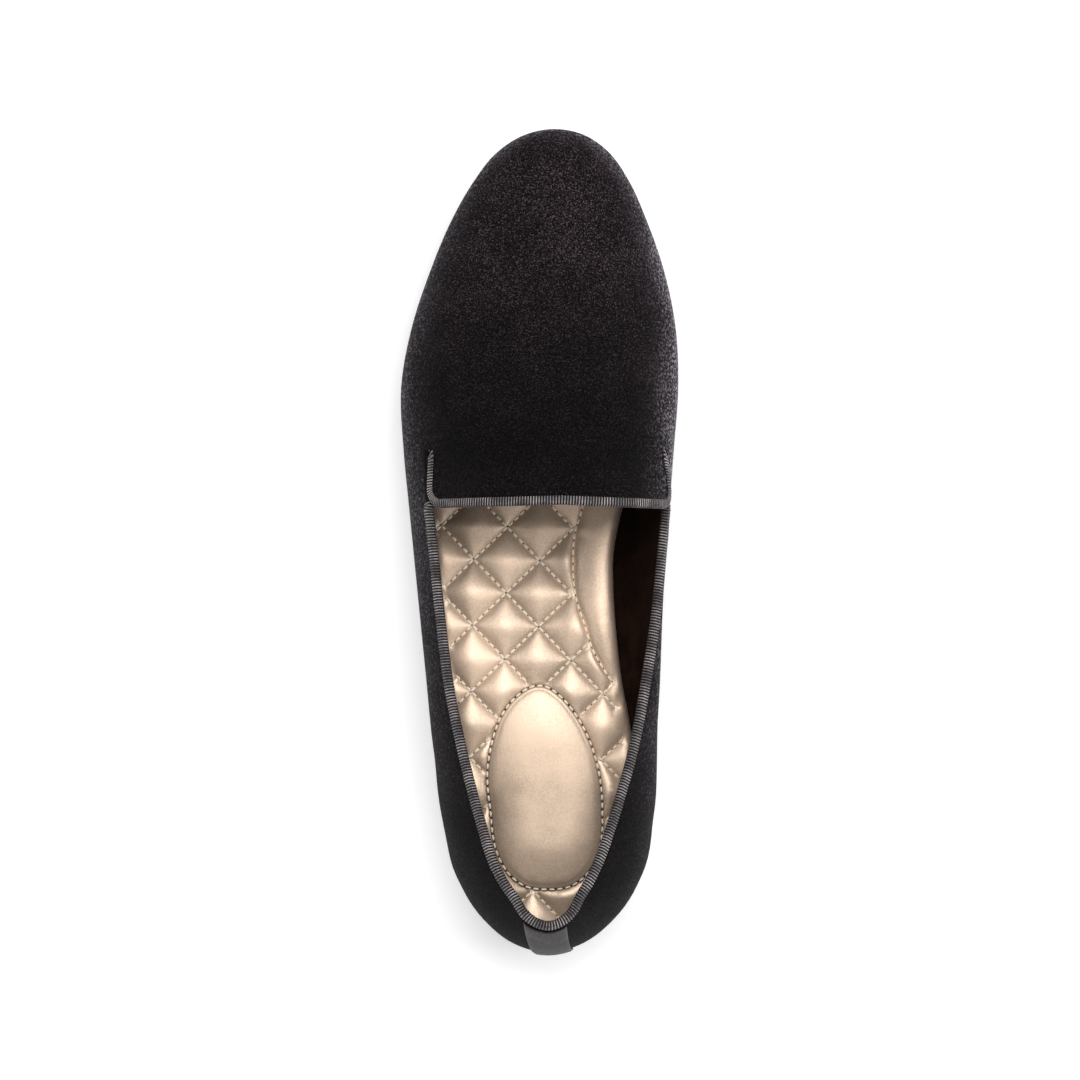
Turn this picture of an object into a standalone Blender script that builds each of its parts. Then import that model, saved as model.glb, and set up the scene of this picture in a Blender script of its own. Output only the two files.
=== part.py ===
"""Velvet slipper loafer: the left shoe, standing on its sole.

The last is cut by ribs. Each rib is an upright plane from a point of the last's plan outline in
to the spine, the line below the crest of the instep. The ribs fan out round heel and toe. Every
curved piece takes its shape from the same ribs, so that the pieces follow each other.

Metres, +Z up, +Y to the toe, +X to the inner side of the foot. The origin is on the floor, below
the middle of the heel.
"""

from collections import namedtuple
from math import asin, cos, pi, sin

import bmesh
import bpy
import numpy as np
from mathutils import Vector

COLLECTION = "velvet_slipper_loafer"

# The last
LENGTH = 0.250
BALL_WIDTH = 0.0847
HEEL_CENTRE = 0.030
BACK_HEIGHT = 0.0495
INSTEP_RISE = 0.0581

# The bottom
SOLE_THICKNESS = 0.0035
SOLE_EDGE = 0.0012
HEEL_HEIGHT = 0.008
HEEL_LENGTH = 0.060
HEEL_TAPER = 0.0012
TOE_SPRING = 0.007

# The upper
WALL = 0.0018
MARGIN = 0.008
CLEARANCE = 0.0003

# The tab over the instep, free of the quarters along a slit on each side
SLIT_LENGTH = 0.0146
TAB_RADIUS = 0.0055
TAB_LIFT = 0.0007
TAB_LIFT_REACH = 0.012

# Tape and pads
BINDING_CLOTH = 0.0005
BINDING_DEPTH = 0.0030
STRIP_CLOTH = 0.0006
STRIP_TOP_WIDTH = 0.0125
STRIP_FOOT_WIDTH = 0.0110
STRIP_FOOT_HEIGHT = 0.0015
INSOLE_THICKNESS = 0.0040
ARCH_RAISE = 0.0030
PAD_THICKNESS = 0.0016
PAD_EDGE = 0.0012

# The slit takes the folded tape, with a clearance on each side of it and one more to the quarter
SLIT_WIDTH = BINDING_CLOTH + 3 * CLEARANCE

# The plan of the last. Each row is a pair of ribs: where they leave the spine and where they
# meet the outline, along as shares of the length and across as shares of the ball width.
PlanRow = namedtuple("PlanRow", "spine lat_along lat_across med_along med_across")
PLAN = (
    PlanRow(0.105, 0.0000, 0.000, 0.0000, 0.000),
    PlanRow(0.108, 0.0115, 0.128, 0.0115, 0.128),
    PlanRow(0.118, 0.0400, 0.232, 0.0400, 0.236),
    PlanRow(0.140, 0.0905, 0.328, 0.0905, 0.335),
    PlanRow(0.185, 0.1660, 0.382, 0.1660, 0.381),
    PlanRow(0.255, 0.2500, 0.413, 0.2500, 0.391),
    PlanRow(0.340, 0.3400, 0.439, 0.3400, 0.401),
    PlanRow(0.430, 0.4300, 0.466, 0.4300, 0.411),
    PlanRow(0.510, 0.5100, 0.490, 0.5100, 0.427),
    PlanRow(0.545, 0.5400, 0.499, 0.5400, 0.434),
    PlanRow(0.612, 0.6100, 0.519, 0.6100, 0.451),
    PlanRow(0.680, 0.6850, 0.528, 0.6850, 0.468),
    PlanRow(0.745, 0.7588, 0.490, 0.7588, 0.459),
    PlanRow(0.800, 0.8300, 0.421, 0.8300, 0.416),
    PlanRow(0.840, 0.8900, 0.346, 0.8900, 0.354),
    PlanRow(0.864, 0.9350, 0.270, 0.9380, 0.290),
    PlanRow(0.876, 0.9700, 0.189, 0.9720, 0.219),
    PlanRow(0.880, 0.9930, 0.084, 0.9930, 0.129),
    PlanRow(0.881, 1.0000, -0.027, 1.0000, 0.027),
)
CORNER = 9
SLIT_END = 10

# The sections of the wall, by their place along the length. The feather edge lies inside the
# outline by the tuck, the wall is widest at the belly's height, and the rim leans in over it.
# Tuck and lean are shares of the ball width, belly and rim of the height at the back.
WallRow = namedtuple("WallRow", "along lat_tuck med_tuck lat_belly med_belly lat_lean med_lean rim")
WALLS = (
    WallRow(0.00, 0.030, 0.030, 0.281, 0.281, 0.107, 0.107, 1.000),
    WallRow(0.04, 0.035, 0.035, 0.265, 0.265, 0.142, 0.152, 0.965),
    WallRow(0.09, 0.040, 0.040, 0.250, 0.260, 0.144, 0.161, 0.928),
    WallRow(0.17, 0.042, 0.044, 0.245, 0.300, 0.127, 0.132, 0.835),
    WallRow(0.25, 0.042, 0.062, 0.255, 0.375, 0.098, 0.078, 0.745),
    WallRow(0.34, 0.042, 0.116, 0.275, 0.510, 0.072, 0.041, 0.697),
    WallRow(0.43, 0.041, 0.150, 0.281, 0.610, 0.067, 0.015, 0.700),
    WallRow(0.48, 0.040, 0.161, 0.270, 0.615, 0.066, 0.010, 0.712),
    WallRow(0.54, 0.039, 0.138, 0.255, 0.566, 0.063, 0.006, 0.727),
    WallRow(0.61, 0.038, 0.078, 0.235, 0.390, 0.063, 0.030, 0.690),
    WallRow(0.685, 0.038, 0.047, 0.222, 0.230, 0.063, 0.050, 0.590),
    WallRow(0.76, 0.038, 0.040, 0.182, 0.185, 0.063, 0.050, 0.465),
    WallRow(0.83, 0.036, 0.037, 0.152, 0.152, 0.063, 0.050, 0.384),
    WallRow(0.90, 0.034, 0.034, 0.135, 0.135, 0.063, 0.063, 0.330),
    WallRow(1.00, 0.032, 0.032, 0.121, 0.121, 0.063, 0.063, 0.283),
)

# The crest of the instep, by its place along the spine: the height over the feather edge as a
# share of the instep's rise, and the sideways shift as a share of the ball width.
CrestRow = namedtuple("CrestRow", "along height shift")
CREST = (
    CrestRow(0.100, 1.020, 0.000),
    CrestRow(0.300, 1.015, 0.018),
    CrestRow(0.480, 1.010, 0.044),
    CrestRow(0.545, 1.000, 0.047),
    CrestRow(0.612, 0.896, 0.042),
    CrestRow(0.680, 0.770, 0.036),
    CrestRow(0.745, 0.650, 0.033),
    CrestRow(0.800, 0.566, 0.031),
    CrestRow(0.840, 0.512, 0.030),
    CrestRow(0.881, 0.455, 0.029),
    CrestRow(0.940, 0.365, 0.028),
)

# How square the vamp's arch is, 2 being an ellipse
ArchRow = namedtuple("ArchRow", "along lat_power med_power")
ARCHES = (
    ArchRow(0.54, 2.00, 2.40),
    ArchRow(0.68, 2.05, 2.20),
    ArchRow(0.85, 2.12, 2.15),
    ArchRow(1.00, 2.15, 2.15),
)

# The heel pad's outline: half widths on each side of its middle, as shares of the ball width
PadRow = namedtuple("PadRow", "along lateral medial shift")
PAD = (
    PadRow(0.0760, 0.000, 0.000, 0.000),
    PadRow(0.0790, 0.075, 0.075, 0.000),
    PadRow(0.0930, 0.135, 0.135, 0.000),
    PadRow(0.1250, 0.186, 0.181, 0.002),
    PadRow(0.1700, 0.200, 0.187, 0.006),
    PadRow(0.2150, 0.198, 0.180, 0.002),
    PadRow(0.2550, 0.184, 0.152, -0.004),
    PadRow(0.2890, 0.140, 0.108, -0.014),
    PadRow(0.3120, 0.078, 0.058, -0.024),
    PadRow(0.3215, 0.020, 0.016, -0.030),
    PadRow(0.3220, 0.000, 0.000, -0.030),
)

# Places along the length, as shares of it, where the sole's underside changes
WAIST_START = 0.250
BALL_START = 0.620
SPRING_START = 0.750

# Rows up the wall, as shares of the turn at the feather edge, of the lean above the belly and
# of the arch from rim to crest
MARGIN_ROWS = (1.0, 0.5)
TURN_ROWS = (0.0, 0.25, 0.5, 0.75, 1.0)
LEAN_ROWS = (0.25, 0.5, 0.75, 1.0)
ARCH_ROWS = (0.05, 0.10, 0.19, 0.32, 0.46, 0.63, 0.81, 1.0)
TURN_POWER = 0.75
SHEET_ROWS = (0.0, 0.12, 0.38, 0.70, 1.0)

# Ribs along the slit, as shares of its length, and behind the tab, as distances
SLIT_RIBS = (0.0, 0.14, 0.29, 0.50, 0.75, 1.0)
BUTT_GAP = 0.0022
BUTT_RIBS = (2.2, 1.0)

Finish = namedtuple("Finish", "colour roughness metallic")
VELVET = Finish((0.012, 0.010, 0.012), 0.95, 0.0)
TAPE = Finish((0.055, 0.048, 0.050), 0.70, 0.0)
SATIN = Finish((0.62, 0.50, 0.38), 0.35, 0.0)
RUBBER = Finish((0.015, 0.014, 0.014), 0.60, 0.0)


def smoothstep(x):
    """Rise from 0 to 1 with flat ends."""
    x = min(1.0, max(0.0, x))
    return x * x * (3.0 - 2.0 * x)


def curve_through(rows, value, place="along"):
    """Return a smooth function through two columns of a table, with no overshoot."""
    xs = np.array([getattr(row, place) for row in rows])
    ys = np.array([getattr(row, value) for row in rows])
    slopes = np.diff(ys) / np.diff(xs)
    tangents = np.concatenate(([slopes[0]], slopes[1:], [slopes[-1]]))
    for k in range(1, len(xs) - 1):
        before, after = slopes[k - 1], slopes[k]
        same_way = before * after > 0.0
        tangents[k] = 2.0 * before * after / (before + after) if same_way else 0.0

    def at(x):
        x = min(xs[-1], max(xs[0], x))
        k = min(int(np.searchsorted(xs, x, side="right")) - 1, len(xs) - 2)
        width = xs[k + 1] - xs[k]
        t = (x - xs[k]) / width
        near = ys[k] * (1 + 2 * t) * (1 - t) ** 2 + tangents[k] * width * t * (1 - t) ** 2
        far = ys[k + 1] * t * t * (3 - 2 * t) - tangents[k + 1] * width * t * t * (1 - t)
        return float(near + far)

    return at


WALL_CURVES = {name: curve_through(WALLS, name) for name in WallRow._fields[1:]}
ARCH_CURVES = {name: curve_through(ARCHES, name) for name in ArchRow._fields[1:]}
CREST_HEIGHT = curve_through(CREST, "height")
CREST_SHIFT = curve_through(CREST, "shift")


def share_along(y):
    """Return a point's place along the length, 0 at the back and 1 at the toe."""
    return (y + HEEL_CENTRE) / LENGTH


def y_at(along):
    """Return the y of a place along the length."""
    return along * LENGTH - HEEL_CENTRE


def sole_base(y):
    """Return the height of the outsole's underside: on the heel, flat at the ball, sprung at the toe."""
    along = share_along(y)
    fall = smoothstep((along - WAIST_START) / (BALL_START - WAIST_START))
    spring = max(0.0, (along - SPRING_START) / (1.0 - SPRING_START))
    return HEEL_HEIGHT * (1.0 - fall) + TOE_SPRING * spring ** 2


def sole_top(y):
    """Return the height of the outsole's upper face."""
    return sole_base(y) + SOLE_THICKNESS


def feather_height(y):
    """Return the height of the underside of the upper and its lasting margin."""
    return sole_top(y) + CLEARANCE


def crest_height(y):
    """Return the height of the instep's crest."""
    return feather_height(y) + INSTEP_RISE * CREST_HEIGHT(share_along(y))


def outline_controls():
    """Return the plan outline's points, clockwise from the back: outer side, toe, inner side."""
    outer = [Vector((-row.lat_across * BALL_WIDTH, y_at(row.lat_along))) for row in PLAN]
    inner = [Vector((row.med_across * BALL_WIDTH, y_at(row.med_along))) for row in PLAN]
    return outer + inner[-2:0:-1]


def outline_point(position):
    """Return the point of the smooth closed outline at a position counted in plan rows."""
    points = OUTLINE
    count = len(points)
    start = int(position // 1)
    t = position - start
    p0, p1, p2, p3 = (points[(start + k) % count] for k in (-1, 0, 1, 2))
    d0, d1, d2 = (p1 - p0).length, (p2 - p1).length, (p3 - p2).length
    m1 = d1 * ((p1 - p0) / d0 - (p2 - p0) / (d0 + d1) + (p2 - p1) / d1)
    m2 = d1 * ((p2 - p1) / d1 - (p3 - p1) / (d1 + d2) + (p3 - p2) / d2)
    near = p1 * (1 + 2 * t) * (1 - t) ** 2 + m1 * t * (1 - t) ** 2
    return near + p2 * t * t * (3 - 2 * t) - m2 * t * t * (1 - t)


OUTLINE = outline_controls()
TIP = len(PLAN) - 1


class Rib:
    """One cut of the last, in the upright plane from the plan outline in to the spine."""

    def __init__(self, position):
        """Place the rib by its position round the outline, counted in plan rows from the back."""
        self.side = "lat" if position <= TIP else "med"
        self.row = position if position <= TIP else 2 * TIP - position
        start = min(int(self.row), TIP - 1)
        spine = PLAN[start].spine + (PLAN[start + 1].spine - PLAN[start].spine) * (self.row - start)
        self.edge = outline_point(position)
        self.spine = Vector((CREST_SHIFT(spine) * BALL_WIDTH, y_at(spine)))
        self.reach = (self.spine - self.edge).length
        self.inward = (self.spine - self.edge) / self.reach
        self.along = share_along(self.edge.y)
        self.tuck = BALL_WIDTH * self.wall("tuck")
        self.belly = BACK_HEIGHT * self.wall("belly")
        self.belly_height = feather_height(self.edge.y) + self.belly
        self.rim_rise = BACK_HEIGHT * WALL_CURVES["rim"](self.along) - self.belly

    def wall(self, name):
        """Read this side's column of the wall table."""
        return WALL_CURVES[f"{self.side}_{name}"](self.along)

    def plan(self, inset):
        """Return the plan point at a distance in from the outline."""
        return self.edge + self.inward * inset

    def point(self, inset, height):
        """Return the point at a distance in from the outline and a height over the floor."""
        x, y = self.plan(inset)
        return Vector((x, y, height))

    def bottom(self, inset, rise=0.0):
        """Return the point at a distance in from the outline and a rise over the margin's underside."""
        x, y = self.plan(inset)
        return Vector((x, y, feather_height(y) + rise))

    def turn(self, share):
        """Return the point of the turn from feather edge to belly."""
        angle = share * pi / 2
        return self.bottom(self.tuck * (1 - sin(angle)), self.belly * (1 - cos(angle)) ** TURN_POWER)

    def lean(self, share):
        """Return the point of a quarter between belly and rim."""
        inset = BALL_WIDTH * self.wall("lean") * share ** 2
        return self.point(inset, self.belly_height + self.rim_rise * share)

    def arch(self, angle):
        """Return the point of the vamp at an angle of its arch, 0 at the belly and pi/2 at the crest."""
        power = 2.0 / ARCH_CURVES[f"{self.side}_power"](self.along)
        out = max(0.0, cos(angle)) ** power
        up = sin(angle) ** power
        crest = crest_height(self.spine.y)
        step = 0.001
        slope = (crest_height(self.spine.y + step) - crest_height(self.spine.y - step)) / (2 * step)
        sag = slope * self.inward.y * self.reach * out * (1 - out) ** 2
        height = self.belly_height + (crest - self.belly_height) * up - sag
        return self.point(self.reach * (1 - out), height)

    def rim_angle(self):
        """Return the angle of the vamp's arch at the height of the rim."""
        rise = crest_height(self.spine.y) - self.belly_height
        power = ARCH_CURVES[f"{self.side}_power"](self.along)
        return asin(min(1.0, (self.rim_rise / rise)) ** (power / 2))

    def arch_pace(self, angle):
        """Return the length of the arch for each radian of its angle."""
        step = 0.01
        return (self.arch(angle + step) - self.arch(angle)).length / step

    def arch_outward(self, angle):
        """Return the direction out of the arch, in the rib's plane."""
        step = 0.01
        up = (self.arch(angle + step) - self.arch(angle - step)).normalized()
        inward = Vector((self.inward.x, self.inward.y, 0.0))
        return Vector((0, 0, 1)) * up.dot(inward) - inward * up.z

    def on_vamp(self):
        """Tell whether the rib runs over the vamp."""
        return self.row >= CORNER


def rib_rows():
    """Return where ribs stand on one side, counted in plan rows from back to toe."""
    rows = [share / 3 for share in range(3)]
    rows += [1 + share / 2 for share in range(2 * (CORNER - 2))]
    rows.append(CORNER - 1.0)
    behind = (PLAN[CORNER].lat_along - PLAN[CORNER - 1].lat_along) * LENGTH
    rows += [CORNER - BUTT_GAP * share / behind for share in BUTT_RIBS]
    span = (PLAN[SLIT_END].lat_along - PLAN[CORNER].lat_along) * LENGTH
    rows += [CORNER + SLIT_LENGTH * share / span for share in SLIT_RIBS]
    rows += [SLIT_END + share / 2 for share in range(2 * (TIP - 1 - SLIT_END))]
    return rows + [TIP - 1.0, TIP - 0.5]


SIDE_ROWS = rib_rows()
RIBS = [Rib(row) for row in SIDE_ROWS + [TIP] + [2 * TIP - row for row in SIDE_ROWS[:0:-1]]]
COUNT = len(RIBS)
TIP_RIB = len(SIDE_ROWS)
CORNER_RIB = SIDE_ROWS.index(CORNER)
SLIT_END_RIB = SIDE_ROWS.index(SLIT_END)


def new_object(name, vertices, faces, finish, collection):
    """Make an object from faces, shaded smooth, with its own material."""
    mesh = bpy.data.meshes.new(name)
    mesh.from_pydata([tuple(vertex) for vertex in vertices], [], faces)
    mesh.shade_smooth()
    mesh.set_sharp_from_angle(angle=pi / 4)
    material = bpy.data.materials.new(name)
    material.use_nodes = True
    shader = material.node_tree.nodes["Principled BSDF"]
    shader.inputs["Base Color"].default_value = (*finish.colour, 1.0)
    shader.inputs["Roughness"].default_value = finish.roughness
    shader.inputs["Metallic"].default_value = finish.metallic
    mesh.materials.append(material)
    item = bpy.data.objects.new(name, mesh)
    collection.objects.link(item)
    return item


def thicken(item, thickness, offset):
    """Give an open surface its thickness, inward with offset -1 or outward with offset 1."""
    solidify = item.modifiers.new("wall", "SOLIDIFY")
    solidify.thickness = thickness
    solidify.offset = offset
    solidify.use_even_offset = True
    return item


def loft(name, rings, finish, collection):
    """Join closed rings of an even count of points into one solid with quads over its ends."""
    size = len(rings[0])
    vertices = [point for ring in rings for point in ring]
    faces = []
    for k in range(len(rings) - 1):
        for m in range(size):
            n = (m + 1) % size
            faces.append((k * size + m, k * size + n, (k + 1) * size + n, (k + 1) * size + m))
    last = (len(rings) - 1) * size
    for m in range(size // 2 - 1):
        faces.append((size - 1 - m, size - 2 - m, m + 1, m))
        faces.append((last + m, last + m + 1, last + size - 2 - m, last + size - 1 - m))
    return outward(new_object(name, vertices, faces, finish, collection))


def outward(item):
    """Turn a closed mesh's faces outward."""
    mesh = bmesh.new()
    mesh.from_mesh(item.data)
    bmesh.ops.recalc_face_normals(mesh, faces=mesh.faces)
    mesh.to_mesh(item.data)
    mesh.free()
    return item


class UpperSurface:
    """The outer surface of the upper as vertices and faces, with the edges that the tape binds."""

    def __init__(self):
        """Lay out the wall, then the vamp with its tab."""
        self.vertices = []
        self.faces = []
        self.wall = [[self.add(point) for point in self.wall_points(rib)] for rib in RIBS]
        for i in range(COUNT):
            self.strip(self.wall[i], self.wall[(i + 1) % COUNT])
        vamp = range(CORNER_RIB, COUNT - CORNER_RIB + 1)
        self.arches = {}
        for i in vamp:
            self.arches[i] = self.arch_vertices(i)
        for i in vamp[:-1]:
            self.strip(self.arches[i], self.arches[i + 1])

    def add(self, point):
        """Add a vertex and return its index."""
        self.vertices.append(point)
        return len(self.vertices) - 1

    def strip(self, one, other):
        """Join two columns of vertices with faces, leaving out what has no area."""
        for k in range(len(one) - 1):
            loop = (one[k], one[k + 1], other[k + 1], other[k])
            face = tuple(dict.fromkeys(loop))
            if len(face) > 2:
                self.faces.append(face)

    def wall_points(self, rib):
        """Return a rib's points from the margin's inner edge up to the rim."""
        points = [rib.bottom(rib.tuck + MARGIN * share) for share in MARGIN_ROWS]
        points += [rib.turn(share) for share in TURN_ROWS]
        if not rib.on_vamp():
            return points + [rib.lean(share) for share in LEAN_ROWS]
        top = rib.rim_angle()
        points += [rib.arch(top * share) for share in LEAN_ROWS[:-1]]
        free = rib.row < SLIT_END
        top -= SLIT_WIDTH / 2 / rib.arch_pace(top) if free else 0.0
        return points + [rib.arch(top)]

    def arch_vertices(self, index):
        """Return a rib's vertices from the rim up to the crest, with the two sides sharing the crest."""
        rib = RIBS[index]
        shares = ARCH_ROWS
        if rib.row < SLIT_END:
            column = [self.add(self.tab_point(rib, share)) for share in (0.0, *shares[:-1])]
        else:
            top = rib.rim_angle()
            column = [self.wall[index][-1]]
            column += [self.add(rib.arch(top + (pi / 2 - top) * share)) for share in shares[:-1]]
        if index <= TIP_RIB:
            return column + [self.add(rib.arch(pi / 2))]
        return column + [self.arches[COUNT - index][-1]]

    def tab_point(self, rib, share):
        """Return a point of the tab, with its corner rounded and its side lifted off the quarter."""
        span = (PLAN[SLIT_END].lat_along - PLAN[CORNER].lat_along) * LENGTH
        top = rib.rim_angle()
        pace = rib.arch_pace(top)
        slit = SLIT_WIDTH / 2 / pace
        across = max(0.0, ((pi / 2 - top) * share - slit) * pace)
        along = (rib.row - CORNER) * span
        if across < TAB_RADIUS and along < TAB_RADIUS:
            p = 1 - across / TAB_RADIUS
            q = 1 - along / TAB_RADIUS
            across = TAB_RADIUS * (1 - p * (1 - q * q / 2) ** 0.5)
            along = TAB_RADIUS * (1 - q * (1 - p * p / 2) ** 0.5)
            row = CORNER + along / span
            rib = Rib(row if rib.side == "lat" else 2 * TIP - row)
            top = rib.rim_angle()
            angle = top + slit + across / pace
        else:
            angle = max(top + slit, top + (pi / 2 - top) * share)
        lift = TAB_LIFT * (1 - smoothstep(across / TAB_LIFT_REACH)) * (1 - smoothstep(along / span))
        return rib.arch(angle) + rib.arch_outward(angle) * lift

    def topline(self):
        """Return the rim's vertices from behind one tab corner round the heel to the other."""
        return [self.wall[i % COUNT][-1] for i in range(CORNER_RIB - 1, -CORNER_RIB, -1)]

    def tab_edge(self):
        """Return the tab's vertices from the inner slit, round its free edge, to the outer slit."""
        inner = [self.arches[COUNT - i][0] for i in range(SLIT_END_RIB - 1, CORNER_RIB, -1)]
        outer = [self.arches[i][0] for i in range(CORNER_RIB + 1, SLIT_END_RIB)]
        return inner + self.arches[COUNT - CORNER_RIB] + self.arches[CORNER_RIB][-2::-1] + outer


def make_upper(surface, collection):
    """Make the velvet shell."""
    return thicken(new_object("upper", surface.vertices, surface.faces, VELVET, collection), WALL, -1)


def fold_ring(point, out, into):
    """Return a ring of folded tape round the wall's edge: out of the wall, and into it."""
    middle = WALL / 2
    inner_reach = middle + CLEARANCE
    outer_reach = inner_reach + BINDING_CLOTH
    nose = CLEARANCE + BINDING_CLOTH
    outer = [(outer_reach, BINDING_DEPTH)]
    outer += [(outer_reach * cos(k * pi / 4), -nose * sin(k * pi / 4)) for k in range(5)]
    outer.append((-outer_reach, BINDING_DEPTH))
    inner = [(inner_reach, BINDING_DEPTH), (inner_reach, 0.0), (inner_reach, -CLEARANCE)]
    inner += [(0.0, -CLEARANCE)]
    inner += [(-reach, depth) for reach, depth in inner[2::-1]]
    profile = outer + inner[::-1]
    return [point + out * (reach - middle) + into * depth for reach, depth in profile]


def bind_edge(name, upper, path, collection):
    """Fold tape over a path of the upper's edge vertices."""
    points = [upper.data.vertices[k].co for k in path]
    outs = [upper.data.vertices[k].normal for k in path]
    rings = []
    for k, point in enumerate(points):
        travel = (points[min(k + 1, len(points) - 1)] - points[max(k - 1, 0)]).normalized()
        into = travel.cross(outs[k]).normalized()
        rings.append(fold_ring(point, outs[k], into))
    return loft(name, rings, TAPE, collection)


def make_heel_strip(surface, collection):
    """Make the tape down the back, from the feather edge to the topline's tape."""
    top = BINDING_DEPTH + CLEARANCE
    columns = [RIBS[i % COUNT] for i in range(-4, 5)]
    turn = [[rib.turn(share) for rib in columns] for share in TURN_ROWS]
    rim = RIBS[0].rim_rise
    lean = [[rib.lean(share * (1 - top / rim)) for rib in columns] for share in LEAN_ROWS]
    levels = turn[1:] + lean
    first = [low.lerp(high, STRIP_FOOT_HEIGHT / (levels[0][4].z - turn[0][4].z))
             for low, high in zip(turn[0], levels[0])]
    levels.insert(0, first)
    vertices = []
    for k, level in enumerate(levels):
        share = k / (len(levels) - 1)
        half = (STRIP_FOOT_WIDTH + (STRIP_TOP_WIDTH - STRIP_FOOT_WIDTH) * share) / 2
        xs = [point.x for point in level]
        for m in range(5):
            x = half * (m - 2) / 2
            near = min(max(int(np.searchsorted(xs[::-1], x)), 1), len(xs) - 1)
            low, high = level[::-1][near - 1], level[::-1][near]
            vertices.append(low.lerp(high, (x - low.x) / (high.x - low.x)))
    faces = []
    for k in range(len(levels) - 1):
        for m in range(4):
            corner = 5 * k + m
            faces.append((corner, corner + 1, corner + 6, corner + 5))
    item = new_object("heel_strip", vertices, faces, TAPE, collection)
    normals = [vertex.normal.copy() for vertex in item.data.vertices]
    for vertex, normal in zip(item.data.vertices, normals):
        vertex.co += normal * CLEARANCE
    return thicken(item, STRIP_CLOTH, 1)


def slab(name, inset, top, base, finish, collection):
    """Make a solid over the plan of the last, inside the outline by each rib's inset."""
    vertices = []
    sheets = []
    for height in (top, base):
        columns = []
        for i, rib in enumerate(RIBS):
            start = inset(rib)
            column = []
            for share in SHEET_ROWS[:-1] if i > TIP_RIB else SHEET_ROWS:
                x, y = rib.plan(start + (rib.reach - start) * share)
                vertices.append(Vector((x, y, height(x, y))))
                column.append(len(vertices) - 1)
            if i > TIP_RIB:
                column.append(columns[COUNT - i][-1])
            columns.append(column)
        sheets.append(columns)
    faces = []
    for i in range(COUNT):
        k = (i + 1) % COUNT
        for sheet in sheets:
            for m in range(len(SHEET_ROWS) - 1):
                loop = (sheet[i][m], sheet[i][m + 1], sheet[k][m + 1], sheet[k][m])
                faces.append(tuple(dict.fromkeys(loop)))
        faces.append((sheets[0][i][0], sheets[0][k][0], sheets[1][k][0], sheets[1][i][0]))
    return outward(new_object(name, vertices, faces, finish, collection))


def outsole_inset(rib):
    """Return how far the outsole's edge lies inside the outline."""
    return rib.tuck - SOLE_EDGE


def insole_inset(rib):
    """Return how far the insole's edge lies inside the outline: it fits in the wall."""
    return rib.tuck + WALL + CLEARANCE


def insole_base(x, y):
    """Return the height of the insole's underside, which rests on the lasting margin."""
    return feather_height(y) + WALL + CLEARANCE


def insole_top(x, y):
    """Return the height of the insole's upper face, raised at the arch."""
    along = share_along(y)
    arch = smoothstep((along - 0.30) / 0.12) * smoothstep((0.66 - along) / 0.14)
    side = smoothstep((x / BALL_WIDTH - 0.03) / 0.20)
    return insole_base(x, y) + INSOLE_THICKNESS + ARCH_RAISE * arch * side


def make_outsole(collection):
    """Make the outsole."""
    return slab("outsole", outsole_inset, lambda x, y: sole_top(y), lambda x, y: sole_base(y),
                RUBBER, collection)


def make_heel(collection):
    """Make the heel block under the back of the outsole, tapered to its base."""
    breast = HEEL_LENGTH - HEEL_CENTRE
    edge = [rib.plan(outsole_inset(rib)) for rib in RIBS]
    outline = []
    for one, other in zip(edge, edge[1:] + edge[:1]):
        if one.y <= breast:
            outline.append(one)
        if (one.y <= breast) != (other.y <= breast):
            outline.append(one.lerp(other, (breast - one.y) / (other.y - one.y)))
    count = len(outline)
    middle = Vector((0.0, 0.0))
    base = [point - (point - middle).normalized() * HEEL_TAPER for point in outline]
    vertices = [(*point, HEEL_HEIGHT - CLEARANCE) for point in outline]
    vertices += [(*point, 0.0) for point in base]
    faces = [tuple(range(count)), tuple(range(count, 2 * count))]
    faces += [(k, (k + 1) % count, count + (k + 1) % count, count + k) for k in range(count)]
    return outward(new_object("heel", vertices, faces, RUBBER, collection))


def make_insole(collection):
    """Make the insole."""
    return slab("insole", insole_inset, insole_top, insole_base, SATIN, collection)


def make_heel_pad(collection):
    """Make the raised pad on the insole, with a rounded edge."""
    lateral = [Vector(((row.shift - row.lateral) * BALL_WIDTH, y_at(row.along))) for row in PAD]
    medial = [Vector(((row.shift + row.medial) * BALL_WIDTH, y_at(row.along))) for row in PAD]
    outline = lateral + medial[-2:0:-1]
    spine = [(one + other) / 2 for one, other in zip(lateral, medial)]
    spine = [spine[2]] * 2 + spine[2:-2] + [spine[-3]] * 2
    spine += spine[-2:0:-1]
    reach = max((one - other).length for one, other in zip(outline, spine))
    rows = ((0.0, 0.0), (0.0, 0.45), (PAD_EDGE / reach, 1.0), (0.55, 1.0), (1.0, 1.0))
    vertices = []
    for share, rise in rows:
        for one, other in zip(outline, spine):
            x, y = one.lerp(other, share)
            vertices.append((x, y, insole_top(x, y) + CLEARANCE + PAD_THICKNESS * rise))
    base = len(vertices)
    for share in (0.55, 1.0):
        for one, other in zip(outline, spine):
            x, y = one.lerp(other, share)
            vertices.append((x, y, insole_top(x, y) + CLEARANCE))
    count = len(outline)
    rings = [range(k * count, (k + 1) * count) for k in range(len(rows))]
    rings = [range(base + count, base + 2 * count), range(base, base + count)] + rings
    faces = []
    for low, high in zip(rings, rings[1:]):
        for k in range(count):
            n = (k + 1) % count
            faces.append((low[k], low[n], high[n], high[k]))
    item = new_object("heel_pad", vertices, faces, SATIN, collection)
    mesh = bmesh.new()
    mesh.from_mesh(item.data)
    bmesh.ops.remove_doubles(mesh, verts=mesh.verts, dist=1e-5)
    mesh.to_mesh(item.data)
    mesh.free()
    return outward(item)


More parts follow.
